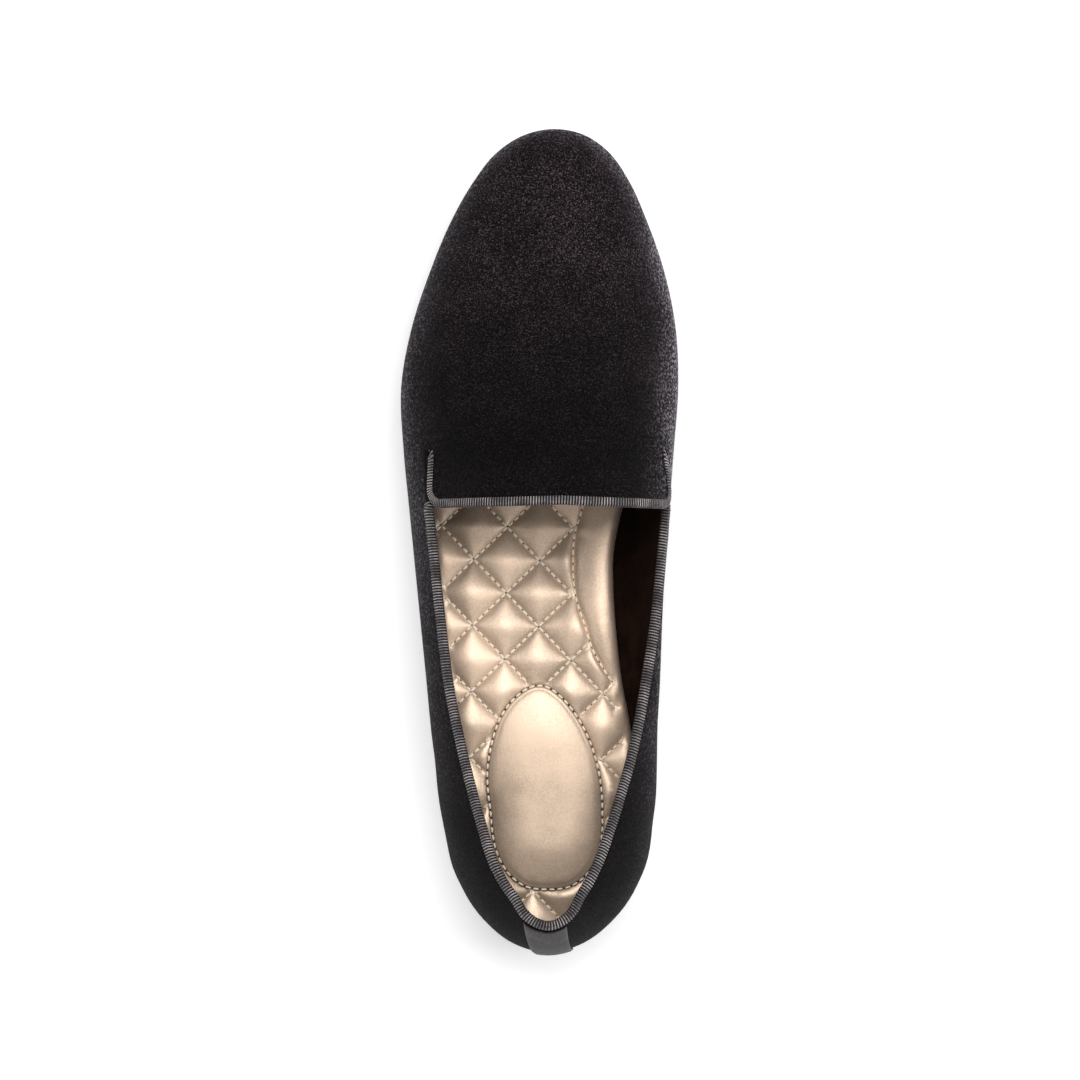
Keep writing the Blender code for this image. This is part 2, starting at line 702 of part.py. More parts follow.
def main():
    """Build the shoe in its collection."""
    for item in list(bpy.data.objects):
        bpy.data.objects.remove(item, do_unlink=True)
    collection = bpy.data.collections.new(COLLECTION)
    bpy.context.scene.collection.children.link(collection)
    surface = UpperSurface()
    upper = make_upper(surface, collection)
    bind_edge("topline_binding", upper, surface.topline(), collection)
    bind_edge("vamp_binding", upper, surface.tab_edge(), collection)
    make_heel_strip(surface, collection)
    make_outsole(collection)
    make_heel(collection)
    make_insole(collection)
    make_heel_pad(collection)


main()
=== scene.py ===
"""Looks of the velvet slipper loafer: the left shoe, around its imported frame.

The last is cut here by the same ribs as in the part's source, only more of them, so that every
soft piece lies where its solid is. Metres, +Z up, +Y to the toe, +X to the inner side of the foot.
"""

from collections import namedtuple
from math import asin, cos, pi, radians, sin

import bmesh
import bpy
import numpy as np
from bpy.props import FloatProperty, FloatVectorProperty, PointerProperty
from mathutils import Matrix, Vector
from mathutils.geometry import delaunay_2d_cdt
from mathutils.kdtree import KDTree
from mathutils.noise import noise


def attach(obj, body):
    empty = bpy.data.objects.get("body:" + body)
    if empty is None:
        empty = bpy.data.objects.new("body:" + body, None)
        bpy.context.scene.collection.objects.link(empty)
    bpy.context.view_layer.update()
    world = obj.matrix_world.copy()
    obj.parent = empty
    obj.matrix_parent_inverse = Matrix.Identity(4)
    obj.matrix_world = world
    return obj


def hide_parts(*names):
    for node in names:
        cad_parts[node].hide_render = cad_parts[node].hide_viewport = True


bl_info = {
    "name": "Velvet Slipper Loafer",
    "version": (1, 0, 0),
    "blender": (4, 5, 0),
    "location": "3D View > Sidebar > Slipper",
    "description": "Velvet, tape, quilted satin and rubber for the packed slipper loafer",
    "category": "Object",
}

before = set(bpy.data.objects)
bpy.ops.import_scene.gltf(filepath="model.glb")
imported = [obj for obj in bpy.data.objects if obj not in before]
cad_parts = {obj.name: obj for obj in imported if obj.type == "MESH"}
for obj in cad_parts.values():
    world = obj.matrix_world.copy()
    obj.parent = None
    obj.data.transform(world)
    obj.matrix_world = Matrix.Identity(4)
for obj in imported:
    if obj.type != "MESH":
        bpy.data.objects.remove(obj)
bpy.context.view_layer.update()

# The last, as in the part's source
LENGTH = 0.250
BALL_WIDTH = 0.0847
HEEL_CENTRE = 0.030
BACK_HEIGHT = 0.0495
INSTEP_RISE = 0.0581
SOLE_THICKNESS = 0.0035
HEEL_HEIGHT = 0.008
TOE_SPRING = 0.007
WALL = 0.0018
MARGIN = 0.008
CLEARANCE = 0.0003
SLIT_LENGTH = 0.0146
TAB_RADIUS = 0.0055
TAB_LIFT = 0.0007
TAB_LIFT_REACH = 0.012
BINDING_CLOTH = 0.0005
BINDING_DEPTH = 0.0030
STRIP_CLOTH = 0.0006
STRIP_TOP_WIDTH = 0.0125
STRIP_FOOT_WIDTH = 0.0110
STRIP_FOOT_HEIGHT = 0.0015
STRIP_SWAY = 0.0018
INSOLE_THICKNESS = 0.0040
ARCH_RAISE = 0.0030
SLIT_WIDTH = BINDING_CLOTH + 3 * CLEARANCE

PlanRow = namedtuple("PlanRow", "spine lat_along lat_across med_along med_across")
PLAN = (
    PlanRow(0.105, 0.0000, 0.000, 0.0000, 0.000),
    PlanRow(0.108, 0.0115, 0.128, 0.0115, 0.128),
    PlanRow(0.118, 0.0400, 0.232, 0.0400, 0.236),
    PlanRow(0.140, 0.0905, 0.328, 0.0905, 0.335),
    PlanRow(0.185, 0.1660, 0.382, 0.1660, 0.381),
    PlanRow(0.255, 0.2500, 0.413, 0.2500, 0.391),
    PlanRow(0.340, 0.3400, 0.439, 0.3400, 0.401),
    PlanRow(0.430, 0.4300, 0.466, 0.4300, 0.411),
    PlanRow(0.510, 0.5100, 0.490, 0.5100, 0.427),
    PlanRow(0.545, 0.5400, 0.499, 0.5400, 0.434),
    PlanRow(0.612, 0.6100, 0.519, 0.6100, 0.451),
    PlanRow(0.680, 0.6850, 0.528, 0.6850, 0.468),
    PlanRow(0.745, 0.7588, 0.490, 0.7588, 0.459),
    PlanRow(0.800, 0.8300, 0.421, 0.8300, 0.416),
    PlanRow(0.840, 0.8900, 0.346, 0.8900, 0.354),
    PlanRow(0.864, 0.9350, 0.270, 0.9380, 0.290),
    PlanRow(0.876, 0.9700, 0.189, 0.9720, 0.219),
    PlanRow(0.880, 0.9930, 0.084, 0.9930, 0.129),
    PlanRow(0.881, 1.0000, -0.027, 1.0000, 0.027),
)
CORNER = 9
SLIT_END = 10

WallRow = namedtuple("WallRow", "along lat_tuck med_tuck lat_belly med_belly lat_lean med_lean rim")
WALLS = (
    WallRow(0.00, 0.030, 0.030, 0.281, 0.281, 0.107, 0.107, 1.000),
    WallRow(0.04, 0.035, 0.035, 0.265, 0.265, 0.142, 0.152, 0.965),
    WallRow(0.09, 0.040, 0.040, 0.250, 0.260, 0.144, 0.161, 0.928),
    WallRow(0.17, 0.042, 0.044, 0.245, 0.300, 0.127, 0.132, 0.835),
    WallRow(0.25, 0.042, 0.062, 0.255, 0.375, 0.098, 0.078, 0.745),
    WallRow(0.34, 0.042, 0.116, 0.275, 0.510, 0.072, 0.041, 0.697),
    WallRow(0.43, 0.041, 0.150, 0.281, 0.610, 0.067, 0.015, 0.700),
    WallRow(0.48, 0.040, 0.161, 0.270, 0.615, 0.066, 0.010, 0.712),
    WallRow(0.54, 0.039, 0.138, 0.255, 0.566, 0.063, 0.006, 0.727),
    WallRow(0.61, 0.038, 0.078, 0.235, 0.390, 0.063, 0.030, 0.690),
    WallRow(0.685, 0.038, 0.047, 0.222, 0.230, 0.063, 0.050, 0.590),
    WallRow(0.76, 0.038, 0.040, 0.182, 0.185, 0.063, 0.050, 0.465),
    WallRow(0.83, 0.036, 0.037, 0.152, 0.152, 0.063, 0.050, 0.384),
    WallRow(0.90, 0.034, 0.034, 0.135, 0.135, 0.063, 0.063, 0.330),
    WallRow(1.00, 0.032, 0.032, 0.121, 0.121, 0.063, 0.063, 0.283),
)

CrestRow = namedtuple("CrestRow", "along height shift")
CREST = (
    CrestRow(0.100, 1.020, 0.000),
    CrestRow(0.300, 1.015, 0.018),
    CrestRow(0.480, 1.010, 0.044),
    CrestRow(0.545, 1.000, 0.047),
    CrestRow(0.612, 0.896, 0.042),
    CrestRow(0.680, 0.770, 0.036),
    CrestRow(0.745, 0.650, 0.033),
    CrestRow(0.800, 0.566, 0.031),
    CrestRow(0.840, 0.512, 0.030),
    CrestRow(0.881, 0.455, 0.029),
    CrestRow(0.940, 0.365, 0.028),
)

ArchRow = namedtuple("ArchRow", "along lat_power med_power")
ARCHES = (
    ArchRow(0.54, 2.00, 2.40),
    ArchRow(0.68, 2.05, 2.20),
    ArchRow(0.85, 2.12, 2.15),
    ArchRow(1.00, 2.15, 2.15),
)

PadRow = namedtuple("PadRow", "along lateral medial shift")
PAD = (
    PadRow(0.0760, 0.000, 0.000, 0.000),
    PadRow(0.0790, 0.075, 0.075, 0.000),
    PadRow(0.0930, 0.135, 0.135, 0.000),
    PadRow(0.1250, 0.188, 0.181, 0.002),
    PadRow(0.1700, 0.210, 0.187, 0.006),
    PadRow(0.2150, 0.218, 0.180, 0.002),
    PadRow(0.2550, 0.194, 0.152, -0.004),
    PadRow(0.2890, 0.146, 0.108, -0.014),
    PadRow(0.3120, 0.078, 0.058, -0.024),
    PadRow(0.3215, 0.020, 0.016, -0.030),
    PadRow(0.3220, 0.000, 0.000, -0.030),
)

WAIST_START = 0.250
BALL_START = 0.620
SPRING_START = 0.750
TURN_POWER = 0.75
SLIT_RIBS = (0.0, 0.14, 0.29, 0.50, 0.75, 1.0)
BUTT_GAP = 0.0022
BUTT_RIBS = (2.2, 1.0)

# The tape as it shows: pressed close to the skived edge of the velvet
TAPE_GAP = 0.0001
TAPE_CLOTH = 0.0004
TAPE_DEPTH = 0.0021
SKIVED_SHARE = 0.62
SKIVE_REACH = 0.006

# How far the rim settles inward of the solid's, by its place along the length
SettleRow = namedtuple("SettleRow", "along lat med")
SETTLE = (
    SettleRow(0.00, 0.0003, 0.0003),
    SettleRow(0.10, 0.0006, 0.0010),
    SettleRow(0.20, 0.0007, 0.0009),
    SettleRow(0.40, 0.0007, 0.0006),
    SettleRow(0.54, 0.0008, 0.0002),
)

# How far the quarter's edge settles inward under the tab's corner, and where it dips to the slit
UNDER_TAB = {"lat": 0.0, "med": 0.0003}
UNDER_REACH = 0.003

# How much finer the looks are cut than the solids
FINER = 3
MARGIN_ROWS = (1.0, 0.75, 0.5, 0.25)
TURN_ROWS = tuple(k / 10 for k in range(11))
LEAN_ROWS = tuple(k / 12 for k in range(1, 13))
ARCH_ROWS = tuple((k / 30) ** 1.2 for k in range(1, 31))

# The quilting thread, how high it lies, and the dark discs of painted shade in the holes between its
# stitches
THREAD_RADIUS = 0.00035
THREAD_LIFT = 0.00036
HOLE_SIZE = (0.00034, 0.00022, 0.00012)
HOLE_LIFT = 0.00010

# Soft creases in the velvet by their ends, in millimetres: troughs are positive, ridges negative
Crease = namedtuple("Crease", "start end width depth")
CREASES = (
    Crease((-36, 124, 45), (-44, 150, 26), 4.0, 0.35),
    Crease((-39, 121, 38), (-45, 134, 26), 3.0, -0.20),
    Crease((36, 124, 46), (40, 150, 28), 4.0, 0.30),
    Crease((37, 118, 38), (39, 132, 28), 3.0, -0.20),
    Crease((-25, 158, 47), (18, 160, 48), 9.0, 0.30),
    Crease((-20, 176, 42), (14, 178, 42), 8.0, -0.18),
    Crease((-24, -18, 44), (-29, -10, 24), 4.0, 0.40),
    Crease((-27, -4, 42), (-32, 4, 24), 5.0, 0.35),
    Crease((-30, 22, 36), (-34, 30, 20), 5.0, 0.25),
    Crease((24, -16, 43), (29, -8, 24), 4.0, 0.35),
    Crease((28, 4, 39), (32, 12, 22), 5.0, 0.30),
    Crease((30, 36, 36), (33, 46, 24), 6.0, 0.25),
)

# The quilting: a crossing of the stitch lines, and the turn of the first family of lines
QUILT_ORIGIN = Vector((-0.0128, 0.0789))
QUILT_TURN = radians(-45.0 - 1.2)

# The stitch line between quilting and arch band, and the fold of the band, in millimetres
BAND_LINE = (
    (13.0, 128.0), (11.6, 116.0), (10.5, 104.7), (8.3, 97.4), (7.6, 87.5), (8.2, 79.0), (11.2, 69.1),
    (13.8, 61.2), (16.8, 55.9), (20.8, 50.0), (23.7, 44.7), (26.5, 40.0), (31.0, 33.0),
)


def smoothstep(x):
    """Rise from 0 to 1 with flat ends."""
    x = np.clip(x, 0.0, 1.0)
    return x * x * (3.0 - 2.0 * x)


def shoulder(x):
    """Rise from 0 to 1 as a quarter circle does: steep first, then level."""
    return np.sqrt(1.0 - (1.0 - np.clip(x, 0.0, 1.0)) ** 2)


def curve_through(rows, value, place="along"):
    """Return a smooth function through two columns of a table, with no overshoot."""
    xs = np.array([getattr(row, place) for row in rows])
    ys = np.array([getattr(row, value) for row in rows])
    slopes = np.diff(ys) / np.diff(xs)
    tangents = np.concatenate(([slopes[0]], slopes[1:], [slopes[-1]]))
    for k in range(1, len(xs) - 1):
        before, after = slopes[k - 1], slopes[k]
        same_way = before * after > 0.0
        tangents[k] = 2.0 * before * after / (before + after) if same_way else 0.0

    def at(x):
        x = min(xs[-1], max(xs[0], x))
        k = min(int(np.searchsorted(xs, x, side="right")) - 1, len(xs) - 2)
        width = xs[k + 1] - xs[k]
        t = (x - xs[k]) / width
        near = ys[k] * (1 + 2 * t) * (1 - t) ** 2 + tangents[k] * width * t * (1 - t) ** 2
        far = ys[k + 1] * t * t * (3 - 2 * t) - tangents[k + 1] * width * t * t * (1 - t)
        return float(near + far)

    return at


WALL_CURVES = {name: curve_through(WALLS, name) for name in WallRow._fields[1:]}
ARCH_CURVES = {name: curve_through(ARCHES, name) for name in ArchRow._fields[1:]}
SETTLE_CURVES = {name: curve_through(SETTLE, name) for name in SettleRow._fields[1:]}
CREST_HEIGHT = curve_through(CREST, "height")
CREST_SHIFT = curve_through(CREST, "shift")


def share_along(y):
    """Return a point's place along the length, 0 at the back and 1 at the toe."""
    return (y + HEEL_CENTRE) / LENGTH


def y_at(along):
    """Return the y of a place along the length."""
    return along * LENGTH - HEEL_CENTRE


def sole_base(y):
    """Return the height of the outsole's underside."""
    along = share_along(y)
    fall = smoothstep((along - WAIST_START) / (BALL_START - WAIST_START))
    spring = np.maximum(0.0, (along - SPRING_START) / (1.0 - SPRING_START))
    return HEEL_HEIGHT * (1.0 - fall) + TOE_SPRING * spring ** 2


def feather_height(y):
    """Return the height of the underside of the upper and its lasting margin."""
    return sole_base(y) + SOLE_THICKNESS + CLEARANCE


def crest_height(y):
    """Return the height of the instep's crest."""
    return feather_height(y) + INSTEP_RISE * CREST_HEIGHT(share_along(y))


def insole_top(x, y):
    """Return the height of the insole's upper face, raised at the arch."""
    along = share_along(y)
    arch = smoothstep((along - 0.30) / 0.12) * smoothstep((0.66 - along) / 0.14)
    side = smoothstep((x / BALL_WIDTH - 0.03) / 0.20)
    return feather_height(y) + WALL + CLEARANCE + INSOLE_THICKNESS + ARCH_RAISE * arch * side


def outline_controls():
    """Return the plan outline's points, clockwise from the back: outer side, toe, inner side."""
    outer = [Vector((-row.lat_across * BALL_WIDTH, y_at(row.lat_along))) for row in PLAN]
    inner = [Vector((row.med_across * BALL_WIDTH, y_at(row.med_along))) for row in PLAN]
    return outer + inner[-2:0:-1]


def loop_point(points, position):
    """Return the point of the smooth closed line through the points, at a position counted in them."""
    count = len(points)
    start = int(position // 1)
    t = position - start
    p0, p1, p2, p3 = (points[(start + k) % count] for k in (-1, 0, 1, 2))
    d0, d1, d2 = (p1 - p0).length, (p2 - p1).length, (p3 - p2).length
    m1 = d1 * ((p1 - p0) / d0 - (p2 - p0) / (d0 + d1) + (p2 - p1) / d1)
    m2 = d1 * ((p2 - p1) / d1 - (p3 - p1) / (d1 + d2) + (p3 - p2) / d2)
    near = p1 * (1 + 2 * t) * (1 - t) ** 2 + m1 * t * (1 - t) ** 2
    return near + p2 * t * t * (3 - 2 * t) - m2 * t * t * (1 - t)


OUTLINE = outline_controls()
TIP = len(PLAN) - 1
TAB_SPAN = (PLAN[SLIT_END].lat_along - PLAN[CORNER].lat_along) * LENGTH


class Rib:
    """One cut of the last, in the upright plane from the plan outline in to the spine."""

    def __init__(self, position):
        """Place the rib by its position round the outline, counted in plan rows from the back."""
        self.side = "lat" if position <= TIP else "med"
        self.row = position if position <= TIP else 2 * TIP - position
        start = min(int(self.row), TIP - 1)
        spine = PLAN[start].spine + (PLAN[start + 1].spine - PLAN[start].spine) * (self.row - start)
        self.edge = loop_point(OUTLINE, position)
        self.spine = Vector((CREST_SHIFT(spine) * BALL_WIDTH, y_at(spine)))
        self.reach = (self.spine - self.edge).length
        self.inward = (self.spine - self.edge) / self.reach
        self.along = share_along(self.edge.y)
        self.tuck = BALL_WIDTH * self.wall("tuck")
        self.belly = BACK_HEIGHT * self.wall("belly")
        self.belly_height = feather_height(self.edge.y) + self.belly
        self.rim_rise = BACK_HEIGHT * WALL_CURVES["rim"](self.along) - self.belly

    def wall(self, name):
        """Read this side's column of the wall table."""
        return WALL_CURVES[f"{self.side}_{name}"](self.along)

    def plan(self, inset):
        """Return the plan point at a distance in from the outline."""
        return self.edge + self.inward * inset

    def point(self, inset, height):
        """Return the point at a distance in from the outline and a height over the floor."""
        x, y = self.plan(inset)
        return Vector((x, y, height))

    def bottom(self, inset, rise=0.0):
        """Return the point at a distance in from the outline and a rise over the margin's underside."""
        x, y = self.plan(inset)
        return Vector((x, y, feather_height(y) + rise))

    def turn(self, share):
        """Return the point of the turn from feather edge to belly."""
        angle = share * pi / 2
        return self.bottom(self.tuck * (1 - sin(angle)), self.belly * (1 - cos(angle)) ** TURN_POWER)

    def lean(self, share):
        """Return the point of a quarter between belly and rim."""
        settled = BALL_WIDTH * self.wall("lean") + SETTLE_CURVES[self.side](self.along)
        inset = settled * share ** 2
        return self.point(inset, self.belly_height + self.rim_rise * share)

    def arch(self, angle):
        """Return the point of the vamp at an angle of its arch, 0 at the belly and pi/2 at the crest."""
        power = 2.0 / ARCH_CURVES[f"{self.side}_power"](self.along)
        out = max(0.0, cos(angle)) ** power
        up = sin(angle) ** power
        crest = crest_height(self.spine.y)
        step = 0.001
        slope = (crest_height(self.spine.y + step) - crest_height(self.spine.y - step)) / (2 * step)
        sag = slope * self.inward.y * self.reach * out * (1 - out) ** 2
        height = self.belly_height + (crest - self.belly_height) * up - sag
        return self.point(self.reach * (1 - out), height)

    def rim_angle(self):
        """Return the angle of the vamp's arch at the height of the rim."""
        rise = crest_height(self.spine.y) - self.belly_height
        power = ARCH_CURVES[f"{self.side}_power"](self.along)
        return asin(min(1.0, (self.rim_rise / rise)) ** (power / 2))

    def arch_pace(self, angle):
        """Return the length of the arch for each radian of its angle."""
        step = 0.01
        return (self.arch(angle + step) - self.arch(angle)).length / step

    def arch_outward(self, angle):
        """Return the direction out of the arch, in the rib's plane."""
        step = 0.01
        up = (self.arch(angle + step) - self.arch(angle - step)).normalized()
        inward = Vector((self.inward.x, self.inward.y, 0.0))
        return Vector((0, 0, 1)) * up.dot(inward) - inward * up.z

    def on_vamp(self):
        """Tell whether the rib runs over the vamp."""
        return self.row >= CORNER - 1e-9

    def slit(self):
        """Return the width of the slit beside the tab, which closes in a point at its end."""
        left = (SLIT_END - self.row) * TAB_SPAN
        return SLIT_WIDTH * min(1.0, max(0.0, left / (TAB_SPAN - SLIT_LENGTH)))


def rib_rows():
    """Return where ribs stand on one side, counted in plan rows from back to toe."""
    rows = [share / 3 for share in range(3)]
    rows += [1 + share / 2 for share in range(2 * (CORNER - 2))]
    rows.append(CORNER - 1.0)
    behind = (PLAN[CORNER].lat_along - PLAN[CORNER - 1].lat_along) * LENGTH
    rows += [CORNER - BUTT_GAP * share / behind for share in BUTT_RIBS]
    rows += [CORNER + SLIT_LENGTH * share / TAB_SPAN for share in SLIT_RIBS]
    rows += [SLIT_END + share / 2 for share in range(2 * (TIP - 1 - SLIT_END))]
    rows += [TIP - 1.0, TIP - 0.5, TIP]
    steps = range(FINER)
    return [a + (b - a) * k / FINER for a, b in zip(rows, rows[1:]) for k in steps]


SIDE_ROWS = rib_rows()
RIBS = [Rib(row) for row in SIDE_ROWS + [TIP] + [2 * TIP - row for row in SIDE_ROWS[:0:-1]]]
COUNT = len(RIBS)
TIP_RIB = len(SIDE_ROWS)
CORNER_RIB = min(range(TIP_RIB), key=lambda k: abs(SIDE_ROWS[k] - CORNER))
SLIT_END_RIB = min(range(TIP_RIB), key=lambda k: abs(SIDE_ROWS[k] - SLIT_END))
UNDER_RIB = CORNER_RIB + 2


class SlipperLooks(bpy.types.PropertyGroup):
    """Sizes and colours that a user would change."""

    velvet_colour: FloatVectorProperty(
        name="Velvet", description="Colour at the foot of the pile", subtype="COLOR",
        default=(0.0100, 0.0072, 0.0086), min=0.0, max=1.0)
    tape_colour: FloatVectorProperty(
        name="Tape", description="Colour of the ribs of the binding", subtype="COLOR",
        default=(0.060, 0.052, 0.053), min=0.0, max=1.0)
    satin_colour: FloatVectorProperty(
        name="Satin", description="Colour of the quilted sock and the pad", subtype="COLOR",
        default=(0.76, 0.575, 0.425), min=0.0, max=1.0)
    thread_colour: FloatVectorProperty(
        name="Thread", description="Colour of the quilting thread", subtype="COLOR",
        default=(1.0, 0.91, 0.74), min=0.0, max=1.0)
    rib_pitch: FloatProperty(
        name="Rib pitch", description="Distance from rib to rib of the tape", subtype="DISTANCE",
        unit="LENGTH", default=0.00086, min=0.0004, max=0.003, precision=5)
    rib_height: FloatProperty(
        name="Rib height", description="How far a rib stands out of the tape", subtype="DISTANCE",
        unit="LENGTH", default=0.00016, min=0.0, max=0.0005, precision=5)
    quilt_pitch: FloatProperty(
        name="Quilt pitch", description="Distance between stitch lines", subtype="DISTANCE",
        unit="LENGTH", default=0.0142, min=0.008, max=0.03, precision=4)
    quilt_puff: FloatProperty(
        name="Quilt puff", description="Rise of a diamond over its stitch lines", subtype="DISTANCE",
        unit="LENGTH", default=0.0031, min=0.0, max=0.005, precision=4)
    stitch_length: FloatProperty(
        name="Stitch", description="Length of a visible stitch", subtype="DISTANCE",
        unit="LENGTH", default=0.0019, min=0.0005, max=0.004, precision=4)
    stitch_pitch: FloatProperty(
        name="Stitch pitch", description="Distance from stitch to stitch", subtype="DISTANCE",
        unit="LENGTH", default=0.0024, min=0.001, max=0.006, precision=4)


def looks():
    """Return the sizes and colours that are set in the scene."""
    return bpy.context.scene.slipper_looks


def new_piece(name, points, faces, materials, replaced=()):
    """Make a smooth piece of the shoe from faces, on the root body."""
    mesh = bpy.data.meshes.new(name)
    mesh.from_pydata([tuple(point) for point in points], [], faces)
    mesh.update()
    mesh.shade_smooth()
    for material in materials:
        mesh.materials.append(material)
    piece = bpy.data.objects.new(name, mesh)
    bpy.context.scene.collection.objects.link(piece)
    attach(piece, "root")
    if replaced:
        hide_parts(*replaced)
    return piece


def only(piece):
    """Select one piece and make it active."""
    bpy.ops.object.select_all(action="DESELECT")
    piece.select_set(True)
    bpy.context.view_layer.objects.active = piece


def outward(piece):
    """Turn a closed mesh's faces outward."""
    mesh = bmesh.new()
    mesh.from_mesh(piece.data)
    bmesh.ops.recalc_face_normals(mesh, faces=mesh.faces)
    mesh.to_mesh(piece.data)
    mesh.free()
    return piece


def node(tree, kind, *links, **settings):
    """Add a shader node, set its fields, and give its inputs values or links."""
    made = tree.nodes.new(kind)
    for field, value in settings.items():
        setattr(made, field, value)
    for name, value in links:
        if isinstance(value, bpy.types.NodeSocket):
            tree.links.new(value, made.inputs[name])
        else:
            made.inputs[name].default_value = value
    return made


def grain_group():
    """Build the shared grain: fine noise as a shade and a height, over slow patches."""
    name = "cloth_grain"
    if name in bpy.data.node_groups:
        return bpy.data.node_groups[name]
    group = bpy.data.node_groups.new(name, "ShaderNodeTree")
    sockets = (("Vector", "NodeSocketVector"), ("Fine Scale", "NodeSocketFloat"),
               ("Patch Scale", "NodeSocketFloat"), ("Patch Share", "NodeSocketFloat"))
    for label, kind in sockets:
        group.interface.new_socket(name=label, in_out="INPUT", socket_type=kind)
    for label in ("Shade", "Height", "Patches"):
        group.interface.new_socket(name=label, in_out="OUTPUT", socket_type="NodeSocketFloat")
    entry = group.nodes.new("NodeGroupInput").outputs
    leave = group.nodes.new("NodeGroupOutput").inputs
    fine = node(group, "ShaderNodeTexNoise", ("Vector", entry["Vector"]),
                ("Scale", entry["Fine Scale"]), ("Detail", 3.0), ("Roughness", 0.6))
    patches = node(group, "ShaderNodeTexNoise", ("Vector", entry["Vector"]),
                   ("Scale", entry["Patch Scale"]), ("Detail", 3.0), ("Roughness", 0.55))
    spread = node(group, "ShaderNodeMapRange", ("Value", patches.outputs["Fac"]),
                  ("From Min", 0.32), ("From Max", 0.68))
    shade = node(group, "ShaderNodeMix", ("Factor", entry["Patch Share"]),
                 ("A", fine.outputs["Fac"]), ("B", spread.outputs["Result"]))
    group.links.new(shade.outputs["Result"], leave["Shade"])
    group.links.new(fine.outputs["Fac"], leave["Height"])
    group.links.new(spread.outputs["Result"], leave["Patches"])
    return group


def new_material(name):
    """Start a material and return it with its tree, its shader and its object coordinates."""
    material = bpy.data.materials.new(name)
    material.use_nodes = True
    tree = material.node_tree
    shader = tree.nodes["Principled BSDF"]
    place = node(tree, "ShaderNodeTexCoord").outputs["Object"]
    return material, tree, shader, place


def grain(tree, place, fine, patch, share):
    """Place the shared grain with its own scales and return its outputs."""
    made = node(tree, "ShaderNodeGroup", node_tree=grain_group())
    tree.links.new(place, made.inputs["Vector"])
    made.inputs["Fine Scale"].default_value = fine
    made.inputs["Patch Scale"].default_value = patch
    made.inputs["Patch Share"].default_value = share
    return made.outputs


def ramp(tree, factor, stops):
    """Add a colour ramp with the given places and colours and return its colour."""
    made = node(tree, "ShaderNodeValToRGB", ("Fac", factor))
    band = made.color_ramp.elements
    for k, (place, colour) in enumerate(stops):
        stop = band[k] if k < 2 else band.new(place)
        stop.position = place
        stop.color = (*colour, 1.0)
    return made.outputs["Color"]


def scaled(colour, factor):
    """Return a colour made lighter or darker."""
    return tuple(channel * factor for channel in colour)


def shaded(tree, colour, shade):
    """Multiply one colour by another and return the result."""
    made = node(tree, "ShaderNodeMix", data_type="RGBA", blend_type="MULTIPLY")
    made.inputs["Factor"].default_value = 1.0
    tree.links.new(colour, made.inputs["A"])
    tree.links.new(shade, made.inputs["B"])
    return made.outputs["Result"]


WHITE = (1.0, 1.0, 1.0)

# The velvet's painted sheen colour, and painted light and shade by place: along the length on pile and
# sheen, darkest at the heel and again near the tab's edge and lighter towards the toe; across the width on
# the sheen only, lighter on the inner side
PAINTED_SHEEN_COLOUR = (0.110, 0.098, 0.112)
PAINTED_LIGHT_ALONG = (
    (0.00, 0.12, 0.05), (0.16, 0.18, 0.14), (0.34, 0.42, 0.60), (0.52, 0.42, 1.00),
    (0.60, 0.17, 1.15), (0.74, 0.45, 1.25), (0.88, 1.00, 1.25), (1.00, 1.10, 1.15),
)
PAINTED_LIGHT_ACROSS = ((0.0, 0.62), (0.5, 0.85), (1.0, 1.38))


def bumped(tree, shader, height, strength, distance):
    """Roughen a shader's surface by a height."""
    bump = node(tree, "ShaderNodeBump", ("Strength", strength), ("Distance", distance),
                ("Height", height))
    tree.links.new(bump.outputs["Normal"], shader.inputs["Normal"])


def patchy_gloss(tree, shader, patches, least, most):
    """Let a shader's roughness wander between two values."""
    rough = node(tree, "ShaderNodeMapRange", ("Value", patches), ("To Min", least), ("To Max", most))
    tree.links.new(rough.outputs["Result"], shader.inputs["Roughness"])


def set_gloss(shader, roughness, specular, sheen=0.0, sheen_roughness=0.5, tint=WHITE):
    """Set a shader's roughness, specular level and sheen."""
    values = (("Roughness", roughness), ("Specular IOR Level", specular), ("Sheen Weight", sheen),
              ("Sheen Roughness", sheen_roughness), ("Sheen Tint", (*tint, 1.0)))
    for label, value in values:
        shader.inputs[label].default_value = value


def shades(colour, places, factors):
    """Return colour stops: one colour, lighter or darker at each place."""
    return [(place, scaled(colour, factor)) for place, factor in zip(places, factors)]


def greys(rows, column):
    """Return colour stops from a table's first column and one of its others."""
    return [(row[0], (row[column],) * 3) for row in rows]


